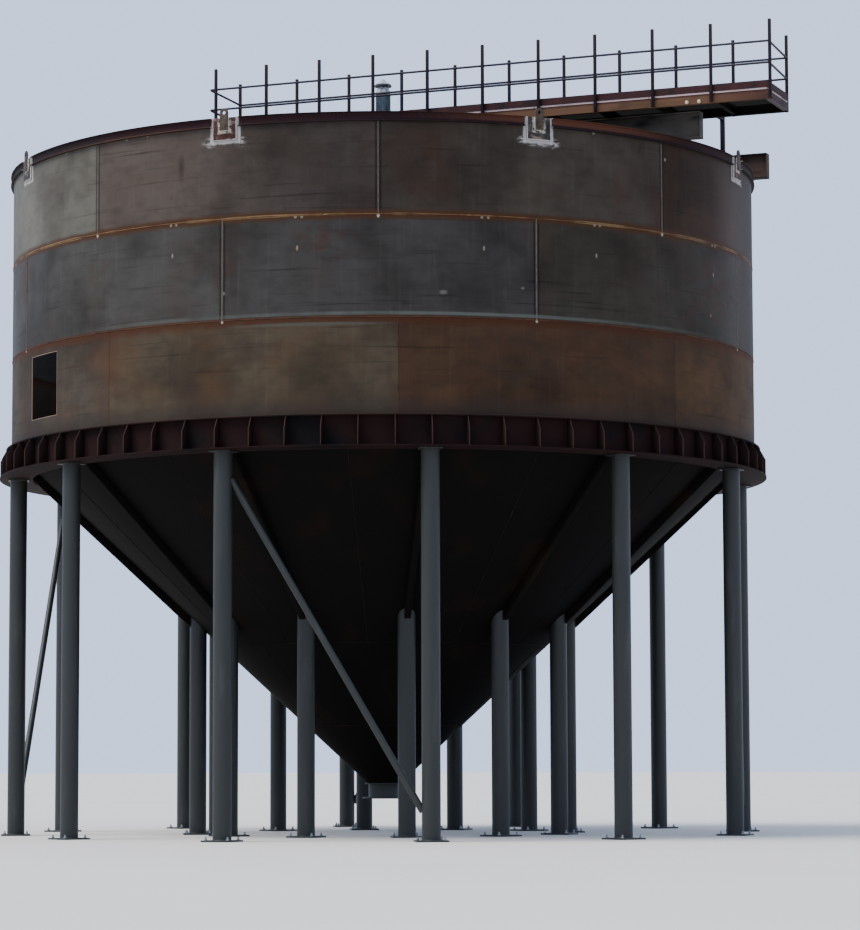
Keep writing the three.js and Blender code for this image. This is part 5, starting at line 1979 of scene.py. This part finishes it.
class TANK_OT_drive_base(bpy.types.Operator):
    """Sets the drive's two cross beams between the girders and the bolted plate on them"""

    bl_idname = "tank.drive_base"
    bl_label = "Drive base"

    def execute(self, context):
        size = context.scene.tank_sizes.frame_bolt
        half = (BASE_HIGH.y - BASE_LOW.y) / 2
        top = BASE_HIGH.z
        section = i_section(
            DRIVE_BEAM_WIDTH, DRIVE_BEAM_DEPTH, DRIVE_BEAM_FLANGE, DRIVE_BEAM_WEB, GIRDER_ROOT,
        )
        beams = [
            bar(section, (x, -half, BASE_LOW.z), (x, half, BASE_LOW.z), X_AXIS, Z_AXIS)
            for x in (-DRIVE_BEAM_X, DRIVE_BEAM_X)
        ]
        wide = (BASE_HIGH.x - BASE_LOW.x) / 2
        deep = DRIVE_PLATE_HALF
        plate = block((-wide, -deep, top - DRIVE_PLATE_THICKNESS), (wide, deep, top))
        bolt = joined(*[
            hexagon_bolt(Vector((x + aside, y, top)), Z_AXIS, size)
            for x in (-DRIVE_BEAM_X, DRIVE_BEAM_X)
            for aside in (-DRIVE_BOLT_ASIDE, DRIVE_BOLT_ASIDE)
            for y in (DRIVE_BOLT_EDGE - deep, deep - DRIVE_BOLT_EDGE)
        ])
        piece("drive_base_beams", [
            solid(joined(*beams), scaled_girder_steel), solid(plate, scaled_girder_steel, 0.002),
            solid(bolt, hot_dip_zinc),
        ], ["drive_base"])
        return {"FINISHED"}


class TANK_OT_gear_unit(bpy.types.Operator):
    """Casts the gear unit: a ribbed housing on a bolted foot with the motor's adapter on its neck"""

    bl_idname = "tank.gear_unit"
    bl_label = "Gear unit"

    def execute(self, context):
        size = context.scene.tank_sizes.frame_bolt
        foot, top = GEAR_LOW.z, GEAR_HIGH.z
        lip = (GEAR_HIGH.x - GEAR_LOW.x) / 2
        housing = lathed([
            (lip - 0.003, foot), (lip, foot + 0.003), (lip, foot + 0.027), (lip - 0.003, foot + 0.030),
            (GEAR_RADIUS + 0.010, foot + 0.030), (GEAR_RADIUS, foot + 0.042), (GEAR_RADIUS, foot + 0.285),
            (GEAR_RADIUS - 0.008, foot + 0.305), (GEAR_NECK_RADIUS + 0.006, foot + 0.354),
            (GEAR_NECK_RADIUS, foot + 0.366), (GEAR_NECK_RADIUS, top - ADAPTER_THICKNESS),
            (ADAPTER_RADIUS, top - ADAPTER_THICKNESS), (ADAPTER_RADIUS, top),
        ], TURNED_SIDES)
        rib = radial_plate([
            (GEAR_RADIUS - 0.01, foot + 0.03), (lip - 0.02, foot + 0.03),
            (GEAR_RADIUS + 0.012, foot + 0.16), (GEAR_RADIUS - 0.01, foot + 0.16),
        ], GEAR_RIB_THICKNESS)
        foot_bolt = hexagon_bolt(Vector((lip - 0.030, 0, foot + 0.030)), Z_AXIS, size)
        piece("gear_unit_housing", [
            solid(housing, machine_enamel),
            round_axis(rib, machine_enamel, GEAR_RIB_COUNT, 180 / GEAR_RIB_COUNT, 0.002),
            round_axis(foot_bolt, hot_dip_zinc, GEAR_RIB_COUNT),
        ], ["gear_unit"])
        return {"FINISHED"}


class TANK_OT_drive_motor(bpy.types.Operator):
    """Builds the upright motor: flange, finned body, fan cowl and the rain hood with its finial"""

    bl_idname = "tank.drive_motor"
    bl_label = "Drive motor"

    def execute(self, context):
        sizes = context.scene.tank_sizes
        foot, top = MOTOR_LOW.z, MOTOR_HIGH.z
        flange = foot + ADAPTER_THICKNESS
        core = MOTOR_RADIUS - 0.020
        body = lathed([
            (ADAPTER_RADIUS, foot), (ADAPTER_RADIUS, flange - 0.003), (ADAPTER_RADIUS - 0.003, flange),
            (core + 0.012, flange), (core + 0.012, flange + 0.045), (core, flange + 0.050),
            (core, MOTOR_TOP_Z - 0.050),
        ], TURNED_SIDES)
        cowl = lathed([
            (core, MOTOR_TOP_Z - 0.050), (MOTOR_RADIUS, MOTOR_TOP_Z - 0.046), (MOTOR_RADIUS, MOTOR_TOP_Z),
            (COWL_TOP_RADIUS + 0.010, HOOD_FOOT_Z - 0.016), (COWL_TOP_RADIUS, HOOD_FOOT_Z),
        ], TURNED_SIDES)
        fin = radial_plate([
            (core - 0.004, flange + 0.055), (MOTOR_RADIUS, flange + 0.055),
            (MOTOR_RADIUS, MOTOR_TOP_Z - 0.048), (core - 0.004, MOTOR_TOP_Z - 0.048),
        ], MOTOR_FIN_THICKNESS)
        hood = lathed([
            (HOOD_RADIUS - 0.002, HOOD_FOOT_Z), (HOOD_RADIUS, HOOD_FOOT_Z + 0.002),
            (HOOD_RADIUS, HOOD_FOOT_Z + 0.028), (HOOD_RADIUS - 0.004, HOOD_FOOT_Z + 0.032),
            (0.060, HOOD_FOOT_Z + 0.085), (0.030, HOOD_FOOT_Z + 0.112), (0.022, top - 0.010),
            (0.012, top - 0.003), (0.004, top),
        ], TURNED_SIDES)
        bolt = hexagon_bolt(Vector((ADAPTER_RADIUS - 0.022, 0, flange)), Z_AXIS, sizes.frame_bolt)
        piece("drive_motor_finned", [
            solid(body, machine_enamel), round_axis(fin, machine_enamel, sizes.motor_fins),
            solid(joined(cowl, hood), pale_cowl_with_painted_reflection), round_axis(bolt, hot_dip_zinc, 4, 45),
        ], ["drive_motor"])
        return {"FINISHED"}


# Stage

class TANK_OT_stage(bpy.types.Operator):
    """Sets the floor, the soft light and the camera at the photograph's place"""

    bl_idname = "tank.stage"
    bl_label = "Stage"

    def execute(self, context):
        scene = context.scene
        reach = FLOOR_REACH
        mesh = bpy.data.meshes.new("floor")
        corners = [(-reach, -reach, 0), (reach, -reach, 0), (reach, reach, 0), (-reach, reach, 0)]
        mesh.from_pydata(corners, [], [(0, 1, 2, 3)])
        mesh.materials.append(made_once(pale_floor))
        floor = bpy.data.objects.new("floor", mesh)
        scene.collection.objects.link(floor)

        world = bpy.data.worlds.new("soft sky")
        world.use_nodes = True
        background = world.node_tree.nodes["Background"]
        background.inputs["Color"].default_value = scene.tank_colours.sky
        background.inputs["Strength"].default_value = SKY_STRENGTH
        scene.world = world

        key = bpy.data.lights.new("soft key", "SUN")
        key.energy = SUN_STRENGTH
        key.color = SUN_COLOUR
        key.angle = math.radians(SUN_SPREAD)
        lamp = bpy.data.objects.new("soft key", key)
        lamp.rotation_euler = Vector(SUN_DIRECTION).to_track_quat("-Z", "Y").to_euler()
        scene.collection.objects.link(lamp)

        azimuth = math.radians(CAMERA_AZIMUTH)
        away = Vector((math.sin(azimuth), -math.cos(azimuth), 0)) * CAMERA_DISTANCE
        place = away + Vector((AXIS_X, 0, CAMERA_HEIGHT))
        look = azimuth - math.radians(CAMERA_YAW)
        pitch = math.radians(CAMERA_PITCH)
        flat = Vector((-math.sin(look), math.cos(look), 0))
        ahead = flat * math.cos(pitch) + Z_AXIS * math.sin(pitch)
        level = ahead.cross(Z_AXIS).normalized()
        over = level.cross(ahead)
        roll = math.radians(CAMERA_ROLL)
        right = level * math.cos(roll) + over * math.sin(roll)
        up = over * math.cos(roll) - level * math.sin(roll)
        data = bpy.data.cameras.new("camera")
        data.lens = CAMERA_LENS_MM
        data.sensor_width = CAMERA_SENSOR_MM
        data.clip_end = 2000.0
        data.dof.use_dof = False
        camera = bpy.data.objects.new("camera", data)
        turn = Matrix((right, up, -ahead)).transposed().to_4x4()
        camera.matrix_world = Matrix.Translation(place) @ turn
        scene.collection.objects.link(camera)
        scene.camera = camera
        return {"FINISHED"}


class TANK_PT_panel(bpy.types.Panel):
    """Lists the tank's sizes, colours and pieces"""

    bl_idname = "TANK_PT_panel"
    bl_label = "Steel water tank"
    bl_space_type = "VIEW_3D"
    bl_region_type = "UI"
    bl_category = "Tank"

    def draw(self, context):
        for group in (context.scene.tank_sizes, context.scene.tank_colours):
            column = self.layout.column(align=True)
            for key in group.__annotations__:
                column.prop(group, key)
        column = self.layout.column(align=True)
        for operator in PIECES:
            column.operator(operator.bl_idname)


PIECES = (
    TANK_OT_wall, TANK_OT_seams, TANK_OT_curb, TANK_OT_lugs, TANK_OT_ring_girder, TANK_OT_cone,
    TANK_OT_outlet, TANK_OT_columns, TANK_OT_braces, TANK_OT_girders, TANK_OT_walkway_frame, TANK_OT_deck,
    TANK_OT_toe_boards, TANK_OT_handrails, TANK_OT_leg, TANK_OT_drive_base, TANK_OT_gear_unit,
    TANK_OT_drive_motor, TANK_OT_stage,
)


def register():
    """Registers the settings, the operators and the panel"""
    for kind in (TankSizes, TankColours, *PIECES, TANK_PT_panel):
        bpy.utils.register_class(kind)
    bpy.types.Scene.tank_sizes = PointerProperty(type=TankSizes)
    bpy.types.Scene.tank_colours = PointerProperty(type=TankColours)


def unregister():
    """Takes away what register added"""
    del bpy.types.Scene.tank_colours
    del bpy.types.Scene.tank_sizes
    for kind in reversed((TankSizes, TankColours, *PIECES, TANK_PT_panel)):
        bpy.utils.unregister_class(kind)


def main():
    """Builds every piece and the stage"""
    register()
    for operator in PIECES:
        family, action = operator.bl_idname.split(".")
        getattr(getattr(bpy.ops, family), action)()


if __name__ == "__main__":
    main()
